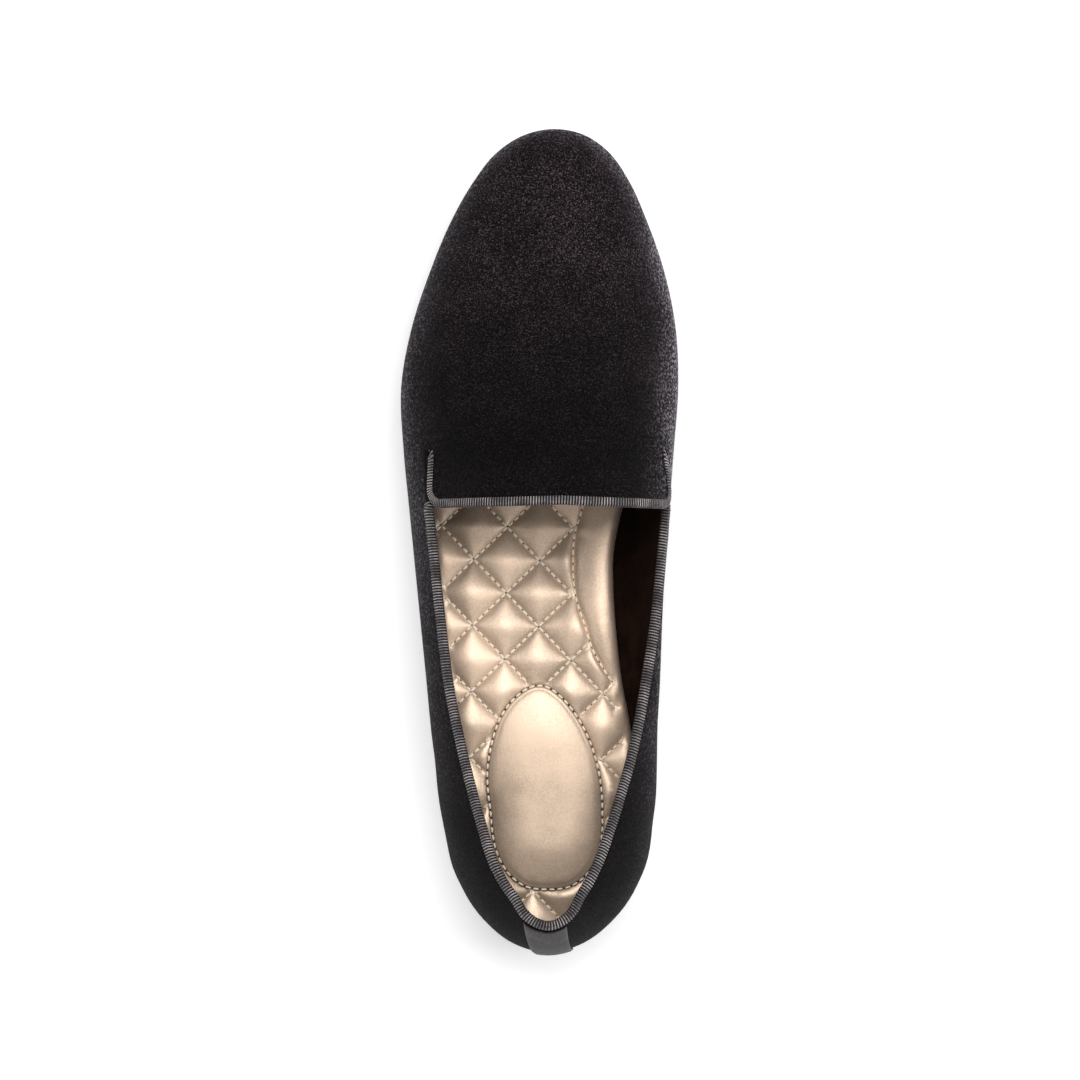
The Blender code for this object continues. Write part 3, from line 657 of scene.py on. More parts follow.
def velvet_material():
    """Make the black velvet: a dark pile, with a painted sheen colour mixed into it where the surface turns
    away from view, and painted light and shade along and across it.
    """
    material, tree, shader, place = new_material("velvet")
    out = grain(tree, place, 2100.0, 70.0, 0.05)
    pile = ramp(tree, out["Shade"], shades(
        looks().velvet_colour, (0.40, 0.50, 0.58, 0.66), (0.05, 0.7, 2.6, 9.0)))
    broad = grain(tree, place, 1250.0, 70.0, 0.05)
    painted_sheen = ramp(tree, broad["Shade"], shades(
        PAINTED_SHEEN_COLOUR, (0.42, 0.50, 0.58, 0.68), (0.02, 0.35, 1.7, 4.5)))
    spot = node(tree, "ShaderNodeSeparateXYZ", ("Vector", place)).outputs
    along = node(tree, "ShaderNodeMapRange", ("Value", spot["Y"]), ("From Min", -HEEL_CENTRE),
                 ("From Max", LENGTH - HEEL_CENTRE)).outputs["Result"]
    across = node(tree, "ShaderNodeMapRange", ("Value", spot["X"]), ("From Min", -BALL_WIDTH / 2),
                  ("From Max", BALL_WIDTH / 2)).outputs["Result"]
    # Painted shade and light: the pile and the painted sheen are darkened or lightened by place along the
    # length, the sheen also across the width
    pile = shaded(tree, pile, ramp(tree, along, greys(PAINTED_LIGHT_ALONG, 1)))
    painted_sheen = shaded(tree, painted_sheen, ramp(tree, along, greys(PAINTED_LIGHT_ALONG, 2)))
    painted_sheen = shaded(tree, painted_sheen, ramp(tree, across, greys(PAINTED_LIGHT_ACROSS, 1)))
    # Painted sheen: a light colour is mixed into the base colour where the surface turns away from view
    facing = node(tree, "ShaderNodeLayerWeight", ("Blend", 0.32)).outputs["Facing"]
    sheen_mask = node(tree, "ShaderNodeMapRange", ("Value", facing), ("From Min", 0.12),
                 ("From Max", 0.95), ("To Max", 0.85), interpolation_type="SMOOTHSTEP")
    tone = node(tree, "ShaderNodeMix", data_type="RGBA")
    tree.links.new(sheen_mask.outputs["Result"], tone.inputs["Factor"])
    tree.links.new(pile, tone.inputs["A"])
    tree.links.new(painted_sheen, tone.inputs["B"])
    tree.links.new(tone.outputs["Result"], shader.inputs["Base Color"])
    bumped(tree, shader, out["Height"], 0.9, 0.00035)
    set_gloss(shader, 0.85, 0.08, 0.03, 0.28, (0.58, 0.52, 0.60))
    return material


def grained_material(name, scales, stops, bump):
    """Start a finish from grain alone: its scales, its colours and its bump."""
    material, tree, shader, place = new_material(name)
    out = grain(tree, place, *scales)
    tree.links.new(ramp(tree, out["Shade"], stops), shader.inputs["Base Color"])
    bumped(tree, shader, out["Height"], *bump)
    return material, tree, shader, out


def lining_material():
    """Make the dark lining inside the upper."""
    stops = ((0.35, (0.0060, 0.0022, 0.0012)), (0.7, (0.022, 0.009, 0.005)))
    material, _, shader, _ = grained_material("lining", (1800.0, 90.0, 0.3), stops, (0.4, 0.0002))
    set_gloss(shader, 0.9, 0.1)
    return material


def thread_material():
    """Make the cream quilting thread."""
    stops = shades(looks().thread_colour, (0.3, 0.6), (0.82, 1.0))
    material, _, shader, _ = grained_material("thread", (5200.0, 300.0, 0.2), stops, (0.5, 0.0001))
    set_gloss(shader, 0.35, 0.9, 0.5, 0.4)
    return material


def hole_shade_material():
    """Make the shadow in the needle holes."""
    stops = ((0.3, (0.050, 0.028, 0.017)), (0.7, (0.110, 0.068, 0.045)))
    material, tree, shader, place = new_material("needle_hole")
    out = grain(tree, place, 4000.0, 300.0, 0.2)
    tree.links.new(ramp(tree, out["Shade"], stops), shader.inputs["Base Color"])
    shader.inputs["Roughness"].default_value = 0.9
    return material


def rubber_material():
    """Make the matt black rubber of the sole."""
    stops = ((0.30, (0.006, 0.0055, 0.0055)), (0.55, (0.013, 0.012, 0.012)),
             (0.75, (0.024, 0.023, 0.023)))
    material, tree, shader, out = grained_material("rubber", (1400.0, 60.0, 0.35), stops,
                                                   (0.35, 0.0002))
    patchy_gloss(tree, shader, out["Patches"], 0.50, 0.64)
    return material


def tape_material():
    """Make the ribbed tape: pale rib crests over gaps made near black by painted shade, read from the tape's
    own map, with painted shade on its inner face.
    """
    material, tree, shader, place = new_material("ribbed_tape")
    colour = looks().tape_colour
    ribs = node(tree, "ShaderNodeUVMap", uv_map="ribs").outputs["UV"]
    split = node(tree, "ShaderNodeSeparateXYZ", ("Vector", ribs))
    turn = node(tree, "ShaderNodeMath", (0, split.outputs["X"]), (1, 2 * pi), operation="MULTIPLY")
    wave = node(tree, "ShaderNodeMath", (0, turn.outputs[0]), operation="COSINE")
    crest = node(tree, "ShaderNodeMapRange", ("Value", wave.outputs[0]), ("From Min", 0.15),
                 ("From Max", 0.80))
    out = grain(tree, place, 3200.0, 160.0, 0.35)
    crest_tone = ramp(tree, out["Shade"], shades(colour, (0.34, 0.50, 0.64), (1.3, 3.4, 6.5)))
    tone = node(tree, "ShaderNodeMix", ("Factor", crest.outputs["Result"]), data_type="RGBA")
    # Painted shade: the gaps between the ribs are near black
    tone.inputs["A"].default_value = (*scaled(colour, 0.02), 1.0)
    tree.links.new(crest_tone, tone.inputs["B"])
    # Painted shade: the tape's inner face, turned into the shoe, is darkened
    inner_side = ramp(tree, split.outputs["Y"], ((0.36, WHITE), (0.54, (0.22, 0.20, 0.20))))
    tree.links.new(shaded(tree, tone.outputs["Result"], inner_side), shader.inputs["Base Color"])
    bumped(tree, shader, out["Height"], 0.35, 0.0001)
    set_gloss(shader, 0.6, 0.25)
    return material


def back_tape_material():
    """Make the fine, smooth weave of the tape down the heel."""
    material, tree, shader, place = new_material("back_tape")
    stretched = node(tree, "ShaderNodeMapping", ("Vector", place), ("Scale", (0.35, 1.0, 1.0)))
    out = grain(tree, stretched.outputs["Vector"], 3000.0, 160.0, 0.2)
    tone = ramp(tree, out["Shade"], shades(
        looks().tape_colour, (0.34, 0.50, 0.66), (0.22, 0.50, 1.2)))
    tree.links.new(tone, shader.inputs["Base Color"])
    bumped(tree, shader, out["Height"], 0.5, 0.0001)
    set_gloss(shader, 0.6, 0.25)
    return material


def satin_material():
    """Make the champagne satin: a soft metal-like gloss with a fine warp."""
    material, tree, shader, place = new_material("satin")
    out = grain(tree, place, 1500.0, 45.0, 0.4)
    tone = ramp(tree, out["Shade"], shades(
        looks().satin_colour, (0.30, 0.50, 0.68), (0.78, 1.0, 1.16)))
    tree.links.new(tone, shader.inputs["Base Color"])
    stretched = node(tree, "ShaderNodeMapping", ("Vector", place), ("Rotation", (0.0, 0.0, 0.6)),
                     ("Scale", (2600.0, 500.0, 1500.0)))
    warp = node(tree, "ShaderNodeTexNoise", ("Vector", stretched.outputs["Vector"]), ("Scale", 1.0),
                ("Detail", 2.0))
    bumped(tree, shader, warp.outputs["Fac"], 0.25, 0.00012)
    set_gloss(shader, 0.37, 0.8, 0.15, 0.35, (1.0, 0.93, 0.85))
    patchy_gloss(tree, shader, out["Patches"], 0.37, 0.46)
    shader.inputs["Metallic"].default_value = 0.48
    return material


class UpperSurface:
    """The outer surface of the upper as vertices and faces, with the edges that the tape binds."""

    def __init__(self):
        """Lay out the wall, then the vamp with its tab."""
        self.vertices = []
        self.faces = []
        self.wall = [[self.add(point) for point in self.wall_points(rib)] for rib in RIBS]
        for i in range(COUNT):
            self.strip(self.wall[i], self.wall[(i + 1) % COUNT])
        vamp = range(CORNER_RIB, COUNT - CORNER_RIB + 1)
        self.arches = {}
        for i in vamp:
            self.arches[i] = self.arch_vertices(i)
        for i in vamp[:-1]:
            self.strip(self.arches[i], self.arches[i + 1])

    def add(self, point):
        """Add a vertex and return its index."""
        self.vertices.append(point)
        return len(self.vertices) - 1

    def strip(self, one, other):
        """Join two columns of vertices with faces, leaving out what has no area."""
        for k in range(len(one) - 1):
            loop = (one[k], one[k + 1], other[k + 1], other[k])
            face = tuple(dict.fromkeys(loop))
            if len(face) > 2:
                self.faces.append(face)

    def wall_points(self, rib):
        """Return a rib's points from the margin's inner edge up to the rim."""
        points = [rib.bottom(rib.tuck + MARGIN * share) for share in MARGIN_ROWS]
        points += [rib.turn(share) for share in TURN_ROWS]
        if not rib.on_vamp():
            return points + [rib.lean(share) for share in LEAN_ROWS]
        top = rib.rim_angle()
        dip = float(smoothstep((rib.row - CORNER) * TAB_SPAN / UNDER_REACH))
        slit = dip * rib.slit() / 2 / rib.arch_pace(top)
        left = max(0.0, 1 - (rib.row - CORNER) / (SLIT_END - CORNER))
        settled = UNDER_TAB[rib.side] * left * Vector((rib.inward.x, rib.inward.y, 0.0))
        return points + [rib.arch((top - slit) * share) + settled * share ** 2 for share in LEAN_ROWS]

    def arch_vertices(self, index):
        """Return a rib's vertices from the rim up to the crest, with the two sides sharing the crest."""
        rib = RIBS[index]
        if rib.row < SLIT_END - 1e-9:
            column = [self.add(self.tab_point(rib, share)) for share in (0.0, *ARCH_ROWS[:-1])]
        else:
            top = rib.rim_angle()
            column = [self.wall[index][-1]]
            column += [self.add(rib.arch(top + (pi / 2 - top) * share)) for share in ARCH_ROWS[:-1]]
        if index <= TIP_RIB:
            return column + [self.add(rib.arch(pi / 2))]
        return column + [self.arches[COUNT - index][-1]]

    def tab_point(self, rib, share):
        """Return a point of the tab, with its corner rounded and its side lifted off the quarter."""
        top = rib.rim_angle()
        pace = rib.arch_pace(top)
        slit = rib.slit() / 2 / pace
        across = (pi / 2 - top - slit) * share * pace
        along = (rib.row - CORNER) * TAB_SPAN
        if across < TAB_RADIUS and along < TAB_RADIUS:
            p = 1 - across / TAB_RADIUS
            q = 1 - along / TAB_RADIUS
            across = TAB_RADIUS * (1 - p * (1 - q * q / 2) ** 0.5)
            along = TAB_RADIUS * (1 - q * (1 - p * p / 2) ** 0.5)
            row = CORNER + along / TAB_SPAN
            rib = Rib(row if rib.side == "lat" else 2 * TIP - row)
            top = rib.rim_angle()
            angle = top + slit + across / pace
        else:
            angle = top + slit + (pi / 2 - top - slit) * share
        lift = TAB_LIFT * (1 - smoothstep(across / TAB_LIFT_REACH)) * (1 - smoothstep(along / TAB_SPAN))
        return rib.arch(angle) + rib.arch_outward(angle) * lift

    def topline(self):
        """Return the rim's vertices from under one tab corner round the heel to under the other."""
        return [self.wall[i % COUNT][-1] for i in range(UNDER_RIB, -UNDER_RIB - 1, -1)]

    def tab_edge(self):
        """Return the tab's vertices from the inner slit, round its free edge, to the outer slit."""
        inner = [self.arches[COUNT - i][0] for i in range(SLIT_END_RIB - 1, CORNER_RIB, -1)]
        outer = [self.arches[i][0] for i in range(CORNER_RIB + 1, SLIT_END_RIB)]
        return inner + self.arches[COUNT - CORNER_RIB] + self.arches[CORNER_RIB][-2::-1] + outer


def crease_depth(point):
    """Return how deep the listed creases press a point of the velvet."""
    depth = 0.0
    for crease in CREASES:
        start = Vector(crease.start) / 1000
        run = Vector(crease.end) / 1000 - start
        share = min(1.0, max(0.0, (point - start).dot(run) / run.length_squared))
        away = (point - start - run * share).length / (crease.width / 1000)
        depth += crease.depth / 1000 * np.exp(-away * away) * (0.55 + 0.45 * sin(pi * share))
    return depth


class EdgePath:
    """An edge of the upper by its arc length: its points, the way out and the way into the cloth."""

    def __init__(self, mesh, vertices):
        """Take the edge's points and normals from the velvet's outer surface."""
        points = np.array([mesh.vertices[k].co for k in vertices])
        outs = np.array([mesh.vertices[k].normal for k in vertices])
        for _ in range(3):
            outs[1:-1] = (outs[:-2] + outs[2:] + 2 * outs[1:-1]) / 4
        outs /= np.linalg.norm(outs, axis=1)[:, None]
        travel = np.gradient(points, axis=0)
        self.lengths = np.concatenate(([0.0], np.cumsum(np.linalg.norm(np.diff(points, axis=0), axis=1))))
        keep = np.concatenate(([True], np.diff(self.lengths) > 1e-7))
        self.lengths = self.lengths[keep]
        travel /= np.linalg.norm(travel, axis=1)[:, None]
        into = np.cross(travel, outs)
        into /= np.linalg.norm(into, axis=1)[:, None]
        self.columns = np.hstack((points, outs, into))[keep]
        self.slopes = np.gradient(self.columns, self.lengths, axis=0)
        self.total = self.lengths[-1]

    def at(self, places):
        """Return points, ways out and ways in at places along the edge, smoothly between its own."""
        places = np.clip(places, 0.0, self.total)
        k = np.clip(np.searchsorted(self.lengths, places, side="right") - 1, 0, len(self.lengths) - 2)
        width = (self.lengths[k + 1] - self.lengths[k])[..., None]
        t = (places - self.lengths[k])[..., None] / width
        near = self.columns[k] * (1 + 2 * t) * (1 - t) ** 2 + self.slopes[k] * width * t * (1 - t) ** 2
        far = self.columns[k + 1] * t * t * (3 - 2 * t) - self.slopes[k + 1] * width * t * t * (1 - t)
        row = near + far
        return row[..., 0:3], row[..., 3:6], row[..., 6:9]


def tape_profile():
    """Return the fold's section: reach out of the wall's middle, depth into the wall, and rib share."""
    inner = WALL * SKIVED_SHARE / 2 + TAPE_GAP
    outer = inner + TAPE_CLOTH
    nose = TAPE_GAP + TAPE_CLOTH
    rows = [(inner + 0.3 * TAPE_CLOTH, TAPE_DEPTH, 0.2)]
    rows += [(outer + 0.0001, TAPE_DEPTH * 0.86, 0.8), (outer, TAPE_DEPTH * 0.6, 1.0)]
    rows += [(outer, TAPE_DEPTH * 0.3, 1.0)]
    rows += [(outer * cos(k * pi / 10), -nose * sin(k * pi / 10), 1.0) for k in range(11)]
    rows += [(-outer, TAPE_DEPTH * share, 1.0) for share in (0.3, 0.6, 0.86)]
    rows += [(-inner - 0.3 * TAPE_CLOTH, TAPE_DEPTH, 0.2)]
    rows += [(-inner, TAPE_DEPTH, 0.0), (-inner, 0.0, 0.0), (-inner, -TAPE_GAP, 0.0)]
    rows += [(0.0, -TAPE_GAP, 0.0)]
    rows += [(inner, -TAPE_GAP, 0.0), (inner, 0.0, 0.0), (inner, TAPE_DEPTH, 0.0)]
    return np.array(rows)


def fold_tape(name, path, node_name, cut=0.0):
    """Fold ribbed tape over an edge of the velvet, each rib standing a little out of the cloth."""
    profile = tape_profile()
    size = len(profile)
    steps = 5
    pitch = looks().rib_pitch
    ribs = int(path.total / pitch)
    rings = ribs * steps + 1
    travel = np.linspace(cut, path.total - cut, rings)
    across = np.linspace(-1.0, 1.0, size)
    slant = 0.00022
    sway = np.array([noise(Vector((place * 90.0, 3.1, 0.0))) for place in travel])
    places = travel[:, None] + slant * across[None, :] * (1.0 + 0.8 * sway[:, None])
    if cut:
        near = 1 - smoothstep((travel - cut) / (3 * cut))
        far = 1 - smoothstep((path.total - cut - travel) / (3 * cut))
        deep = np.maximum(profile[:, 1], 0.0) / TAPE_DEPTH
        places = places + cut * (far - near)[:, None] * (2 * deep - 1)[None, :]
    point, out, into = path.at(places)
    count = np.arange(rings)[:, None] / steps * np.ones(size)
    wave = 0.5 - 0.5 * np.cos(2 * pi * count)
    uneven = 1.0 + 0.25 * np.array([noise(Vector((k / steps * 0.9, 7.7, 0.0))) for k in range(rings)])
    lift = looks().rib_height * wave * profile[None, :, 2] * uneven[:, None]
    reach = profile[None, :, 0]
    depth = profile[None, :, 1]
    away = np.hypot(reach, np.minimum(depth, 0.0) * 2) + 1e-9
    reach = reach + lift * reach / away
    depth = depth + lift * np.minimum(depth, 0.0) * 2 / away
    middle = WALL * SKIVED_SHARE / 2
    vertices = point + out * (reach - middle)[..., None] + into * depth[..., None]
    faces = []
    for k in range(rings - 1):
        for m in range(size):
            n = (m + 1) % size
            faces.append((k * size + m, k * size + n, (k + 1) * size + n, (k + 1) * size + m))
    last = (rings - 1) * size
    faces.append(tuple(range(size - 1, -1, -1)))
    faces.append(tuple(range(last, last + size)))
    piece = new_piece(name, vertices.reshape(-1, 3), faces, [tape_shared()], [node_name])
    layer = piece.data.uv_layers.new(name="ribs")
    index = np.zeros(len(piece.data.loops), dtype=int)
    piece.data.loops.foreach_get("vertex_index", index)
    uv = np.stack((index // size / steps + 0.5, 0.5 + 0.5 * across[index % size]), axis=1)
    layer.data.foreach_set("uv", uv.astype(np.float32).ravel())
    return outward(piece)


def tape_shared():
    """Return the tape's material, made once."""
    return bpy.data.materials.get("ribbed_tape") or tape_material()


def satin_shared():
    """Return the satin's material, made once."""
    return bpy.data.materials.get("satin") or satin_material()


class SLIPPER_OT_velvet_upper(bpy.types.Operator):
    """Make the velvet upper with its lining and bind its edges with ribbed tape"""

    bl_idname = "slipper.velvet_upper"
    bl_label = "Velvet upper and tapes"

    def execute(self, context):
        surface = UpperSurface()
        materials = [velvet_material(), lining_material()]
        upper = new_piece("velvet_upper", surface.vertices, surface.faces, materials,
                          ["upper"])
        normals = [vertex.normal.copy() for vertex in upper.data.vertices]
        for vertex, normal in zip(upper.data.vertices, normals):
            vertex.co -= normal * crease_depth(vertex.co)
        topline = EdgePath(upper.data, surface.topline())
        tab = EdgePath(upper.data, surface.tab_edge())
        only(upper)
        full = upper.vertex_groups.new(name="full_wall")
        edge = [upper.data.vertices[k].co for k in (*surface.topline(), *surface.tab_edge())]
        tree = KDTree(len(edge))
        for k, point in enumerate(edge):
            tree.insert(point, k)
        tree.balance()
        for vertex in upper.data.vertices:
            away = tree.find(vertex.co)[2]
            full.add([vertex.index], float(smoothstep(away / SKIVE_REACH)), "REPLACE")
        wall = upper.modifiers.new("wall", "SOLIDIFY")
        wall.thickness = WALL
        wall.offset = -1.0
        wall.vertex_group = full.name
        wall.thickness_vertex_group = SKIVED_SHARE
        wall.material_offset = 1
        bpy.ops.object.modifier_apply(modifier=wall.name)
        fold_tape("topline_tape", topline, "topline_binding")
        fold_tape("tab_tape", tab, "vamp_binding", cut=0.0009)
        return {"FINISHED"}


def back_point(level, x):
    """Return a point of the back of the quarters by its level, 0 to 1 in the turn and on to 2 at the top."""
    top = 1 - (BINDING_DEPTH + CLEARANCE) / RIBS[0].rim_rise
    points = []
    for k in range(-3 * FINER, 3 * FINER + 1):
        rib = RIBS[k % COUNT]
        points.append(rib.turn(level) if level <= 1 else rib.lean((level - 1) * top))
    xs = np.array([-point.x for point in points])
    order = np.argsort(xs)
    ys = np.array([point.y for point in points])
    zs = np.array([point.z for point in points])
    y = float(np.interp(-x, xs[order], ys[order]))
    z = float(np.interp(-x, xs[order], zs[order]))
    return Vector((x, y, z))


class SLIPPER_OT_back_tape(bpy.types.Operator):
    """Make the finely woven tape down the back of the heel"""

    bl_idname = "slipper.back_tape"
    bl_label = "Back tape"

    def execute(self, context):
        levels = np.linspace(0.0, 2.0, 121)
        middle = [back_point(level, 0.0) for level in levels]
        lengths = np.concatenate(([0.0], np.cumsum([(b - a).length for a, b in zip(middle, middle[1:])])))
        start = STRIP_FOOT_HEIGHT
        steps = 5
        pitch = looks().rib_pitch
        ribs = int((lengths[-1] - start) / pitch)
        rings = ribs * steps + 1
        columns = 15
        grid = []
        for k in range(rings):
            place = start + (lengths[-1] - start) * k / (rings - 1)
            level = float(np.interp(place, lengths, levels))
            share = k / (rings - 1)
            half = (STRIP_FOOT_WIDTH + (STRIP_TOP_WIDTH - STRIP_FOOT_WIDTH) * share) / 2
            sway = STRIP_SWAY * (1 - 1.5 * max(0.0, level - 1))
            grid.append([back_point(level, sway + half * (2 * m / (columns - 1) - 1))
                         for m in range(columns)])
        points = np.array(grid)
        down = np.gradient(points, axis=0)
        side = np.gradient(points, axis=1)
        normal = np.cross(side, down)
        normal /= np.linalg.norm(normal, axis=2)[..., None]
        if normal[rings // 2, columns // 2, 1] > 0:
            normal = -normal
        count = np.arange(rings) / steps
        edge = shoulder((1 - np.abs(np.linspace(-1, 1, columns))) * 8)[None, :]
        wave = (0.5 - 0.5 * np.cos(2 * pi * count))[:, None]
        thick = STRIP_CLOTH * (0.45 + 0.55 * edge) + 0.2 * looks().rib_height * wave * edge
        inner = points + normal * CLEARANCE
        outer = points + normal * (CLEARANCE + thick)[..., None]
        vertices = np.concatenate((inner.reshape(-1, 3), outer.reshape(-1, 3)))
        faces = []
        total = rings * columns
        for k in range(rings - 1):
            for m in range(columns - 1):
                a = k * columns + m
                loop = (a, a + 1, a + 1 + columns, a + columns)
                faces.append(loop[::-1])
                faces.append(tuple(total + v for v in loop))
        border = list(range(columns))
        border += [k * columns + columns - 1 for k in range(1, rings)]
        border += [(rings - 1) * columns + m for m in range(columns - 2, -1, -1)]
        border += [k * columns for k in range(rings - 2, 0, -1)]
        for a, b in zip(border, border[1:] + border[:1]):
            faces.append((a, b, total + b, total + a))
        piece = new_piece("back_tape", vertices, faces, [back_tape_material()],
                          ["heel_strip"])
        layer = piece.data.uv_layers.new(name="ribs")
        index = np.zeros(len(piece.data.loops), dtype=int)
        piece.data.loops.foreach_get("vertex_index", index)
        index %= total
        uv = np.stack((index // columns / steps + 0.5, index % columns / columns), axis=1)
        layer.data.foreach_set("uv", uv.astype(np.float32).ravel())
        outward(piece)
        return {"FINISHED"}


class Line:
    """A stitched line in plan, with the distance to it, which side a point is on, and its arc length."""

    def __init__(self, points, closed=False):
        """Take the line's points, and go back to the first one where it is closed."""
        points = np.array([tuple(point)[:2] for point in points], dtype=float)
        self.points = np.vstack((points, points[:1])) if closed else points
        self.lengths = np.concatenate(
            ([0.0], np.cumsum(np.linalg.norm(np.diff(self.points, axis=0), axis=1))))

    def measure(self, places):
        """Return each place's signed distance, positive to the right of the line, and its arc length."""
        places = np.asarray(places, dtype=float)
        best = np.full(len(places), np.inf)
        sign = np.ones(len(places))
        along = np.zeros(len(places))
        for k in range(len(self.points) - 1):
            start = self.points[k]
            run = self.points[k + 1] - start
            length = np.hypot(*run)
            away = places - start
            share = np.clip(away @ run / length ** 2, 0.0, 1.0)
            gap = away - share[:, None] * run
            distance = np.hypot(gap[:, 0], gap[:, 1])
            side = np.where(run[0] * away[:, 1] - run[1] * away[:, 0] <= 0, 1.0, -1.0)
            nearer = distance < best - 1e-9
            best[nearer] = distance[nearer]
            sign[nearer] = side[nearer]
            along[nearer] = (self.lengths[k] + share * length)[nearer]
        return best * sign, along

    def at(self, place):
        """Return the point at an arc length and the way along the line there."""
        x = np.interp(place, self.lengths, self.points[:, 0])
        y = np.interp(place, self.lengths, self.points[:, 1])
        k = min(max(int(np.searchsorted(self.lengths, place, side="right")) - 1, 0),
                len(self.points) - 2)
        run = self.points[k + 1] - self.points[k]
        return np.array((x, y)), run / np.hypot(*run)


def smooth_line(points, count, closed=False):
    """Return points of a smooth line through a few given ones."""
    points = [Vector(tuple(point)[:2]) for point in points]
    if closed:
        return [loop_point(points, k * len(points) / count) for k in range(count)]
    doubled = [points[0] * 2 - points[1], *points, points[-1] * 2 - points[-2]]
    span = len(points) - 1
    return [loop_point(doubled, 1 + min(k * span / count, span - 1e-6)) for k in range(count + 1)]


def insole_inset(rib):
    """Return how far the insole's edge lies inside the outline: it fits in the wall."""
    return rib.tuck + WALL + CLEARANCE


def pad_outline():
    """Return the heel pad's outline, anticlockwise from its back."""
    lateral = [Vector(((row.shift - row.lateral) * BALL_WIDTH, y_at(row.along))) for row in PAD]
    medial = [Vector(((row.shift + row.medial) * BALL_WIDTH, y_at(row.along))) for row in PAD]
    return smooth_line(medial + lateral[-2:0:-1], 160, closed=True)


class Sock:
    """The satin sock's upper face: its quilting, its smooth arch band and its edge."""

    def __init__(self):
        """Lay out the lines that are sewn."""
        self.edge = Line([rib.plan(insole_inset(rib)) for rib in RIBS], closed=True)
        self.pad = Line(pad_outline(), closed=True)
        self.band = Line(smooth_line([Vector(point) / 1000 for point in BAND_LINE], 90))
        self.first = np.array((cos(QUILT_TURN), sin(QUILT_TURN)))
        self.second = np.array((sin(QUILT_TURN), -cos(QUILT_TURN)))
        self.pitch = looks().quilt_pitch

    def lattice(self, places):
        """Return places counted in stitch lines of both families."""
        away = np.asarray(places) - np.array(QUILT_ORIGIN)
        return away @ self.first / self.pitch, away @ self.second / self.pitch

    def place(self, i, j):
        """Return the plan point of a place counted in stitch lines."""
        return np.array(QUILT_ORIGIN) + (self.first * i + self.second * j) * self.pitch

    def heights(self, places):
        """Return the height of the satin over each plan point."""
        places = np.asarray(places, dtype=float)
        edge = self.edge.measure(places)[0]
        pad = self.pad.measure(places)[0]
        band, along = self.band.measure(places)
        i, j = self.lattice(places)
        rises = [np.maximum(1 - np.abs(2 * (count - np.floor(count)) - 1), 1e-4) ** 0.66
                 for count in (i, j)]
        swell = (rises[0] ** -3 + rises[1] ** -3) ** (-1 / 3)
        puff = looks().quilt_puff
        groove = -0.0009
        quilt = groove + puff * swell * shoulder(edge / 0.004) * shoulder(pad / 0.003) \
            * shoulder(band / 0.0025)
        off = -band
        drag = np.array([noise(Vector((place * 420.0, 1.7, 0.0))) for place in along])
        wrinkle = 0.00035 * drag * np.exp(-off / 0.004) * smoothstep(off / 0.001)
        smooth = groove + 0.0019 * shoulder(off / 0.005) * shoulder(edge / 0.006) + wrinkle
        rise = np.where(band >= 0, quilt, smooth)
        rise = np.where(pad < 0, np.minimum(rise, -0.0002), rise)
        turn = 0.0014
        drop = 0.0022 * (1 - shoulder(edge / turn))
        return insole_top(places[:, 0], places[:, 1]) + rise - drop

    def sewn_lines(self):
        """Return runs of stitches as plan points with the way along, for every line of the sock."""
        pitch = looks().stitch_pitch
        places, ways = [], []
        for one, other in ((self.first, self.second), (self.second, self.first)):
            for line in range(-16, 17):
                for step in range(-110, 111):
                    start = one * line * self.pitch + other * (step + 0.5) * pitch
                    places.append(np.array(QUILT_ORIGIN) + start)
                    ways.append(other)
        places, ways = np.array(places), np.array(ways)
        edge = self.edge.measure(places)[0]
        keep = edge > 0.0025
        places, ways = places[keep], ways[keep]
        pad = self.pad.measure(places)[0]
        band = self.band.measure(places)[0]
        keep = (pad > 0.0012) & (band > 0.0010)
        places, ways = list(places[keep]), list(ways[keep])
        for step in range(int(self.band.lengths[-1] / pitch)):
            place, way = self.band.at((step + 0.5) * pitch)
            if self.edge.measure([place])[0][0] > 0.0018:
                places.append(place)
                ways.append(way)
        return np.array(places), np.array(ways)

    def plan_points(self):
        """Return plan points for the satin's mesh: edge rings, sewn lines, and the diamonds between."""
        rings = [[rib.plan(insole_inset(rib) + inset) for rib in RIBS]
                 for inset in (0.0, 0.0001, 0.0004, 0.0009, 0.0016, 0.0026)]
        rings = [np.array([tuple(point) for point in ring]) for ring in rings]
        shares = (0.0, 0.03, 0.08, 0.15, 0.24, 0.34, 0.45, 0.55, 0.66, 0.76, 0.85, 0.92, 0.97)
        grades = [line + share for line in range(-16, 16) for share in shares]
        inside = np.array([self.place(i, j) for i in grades for j in grades])
        box_low, box_high = rings[0].min(axis=0), rings[0].max(axis=0)
        inside = inside[((inside > box_low) & (inside < box_high)).all(axis=1)]
        inside = inside[self.edge.measure(inside)[0] > 0.0034]
        inside = inside[np.abs(self.pad.measure(inside)[0]) > 0.0016]
        band = self.band.measure(inside)[0]
        inside = inside[np.abs(band) > 0.0014]
        lines = []
        for line in (self.pad, self.band):
            for offset in (0.0, 0.0003, -0.0003, 0.0009, -0.0009):
                for step in range(int(line.lengths[-1] / 0.0012)):
                    place, way = line.at(step * 0.0012)
                    lines.append(place + offset * np.array((-way[1], way[0])))
        lines = np.array(lines)
        lines = lines[self.edge.measure(lines)[0] > 0.0034]
        return rings, np.vstack((inside, lines))


def clockwise(points):
    """Tell whether a closed plan line runs clockwise."""
    x, y = points[:, 0], points[:, 1]
    return np.sum(x * np.roll(y, -1) - y * np.roll(x, -1)) < 0


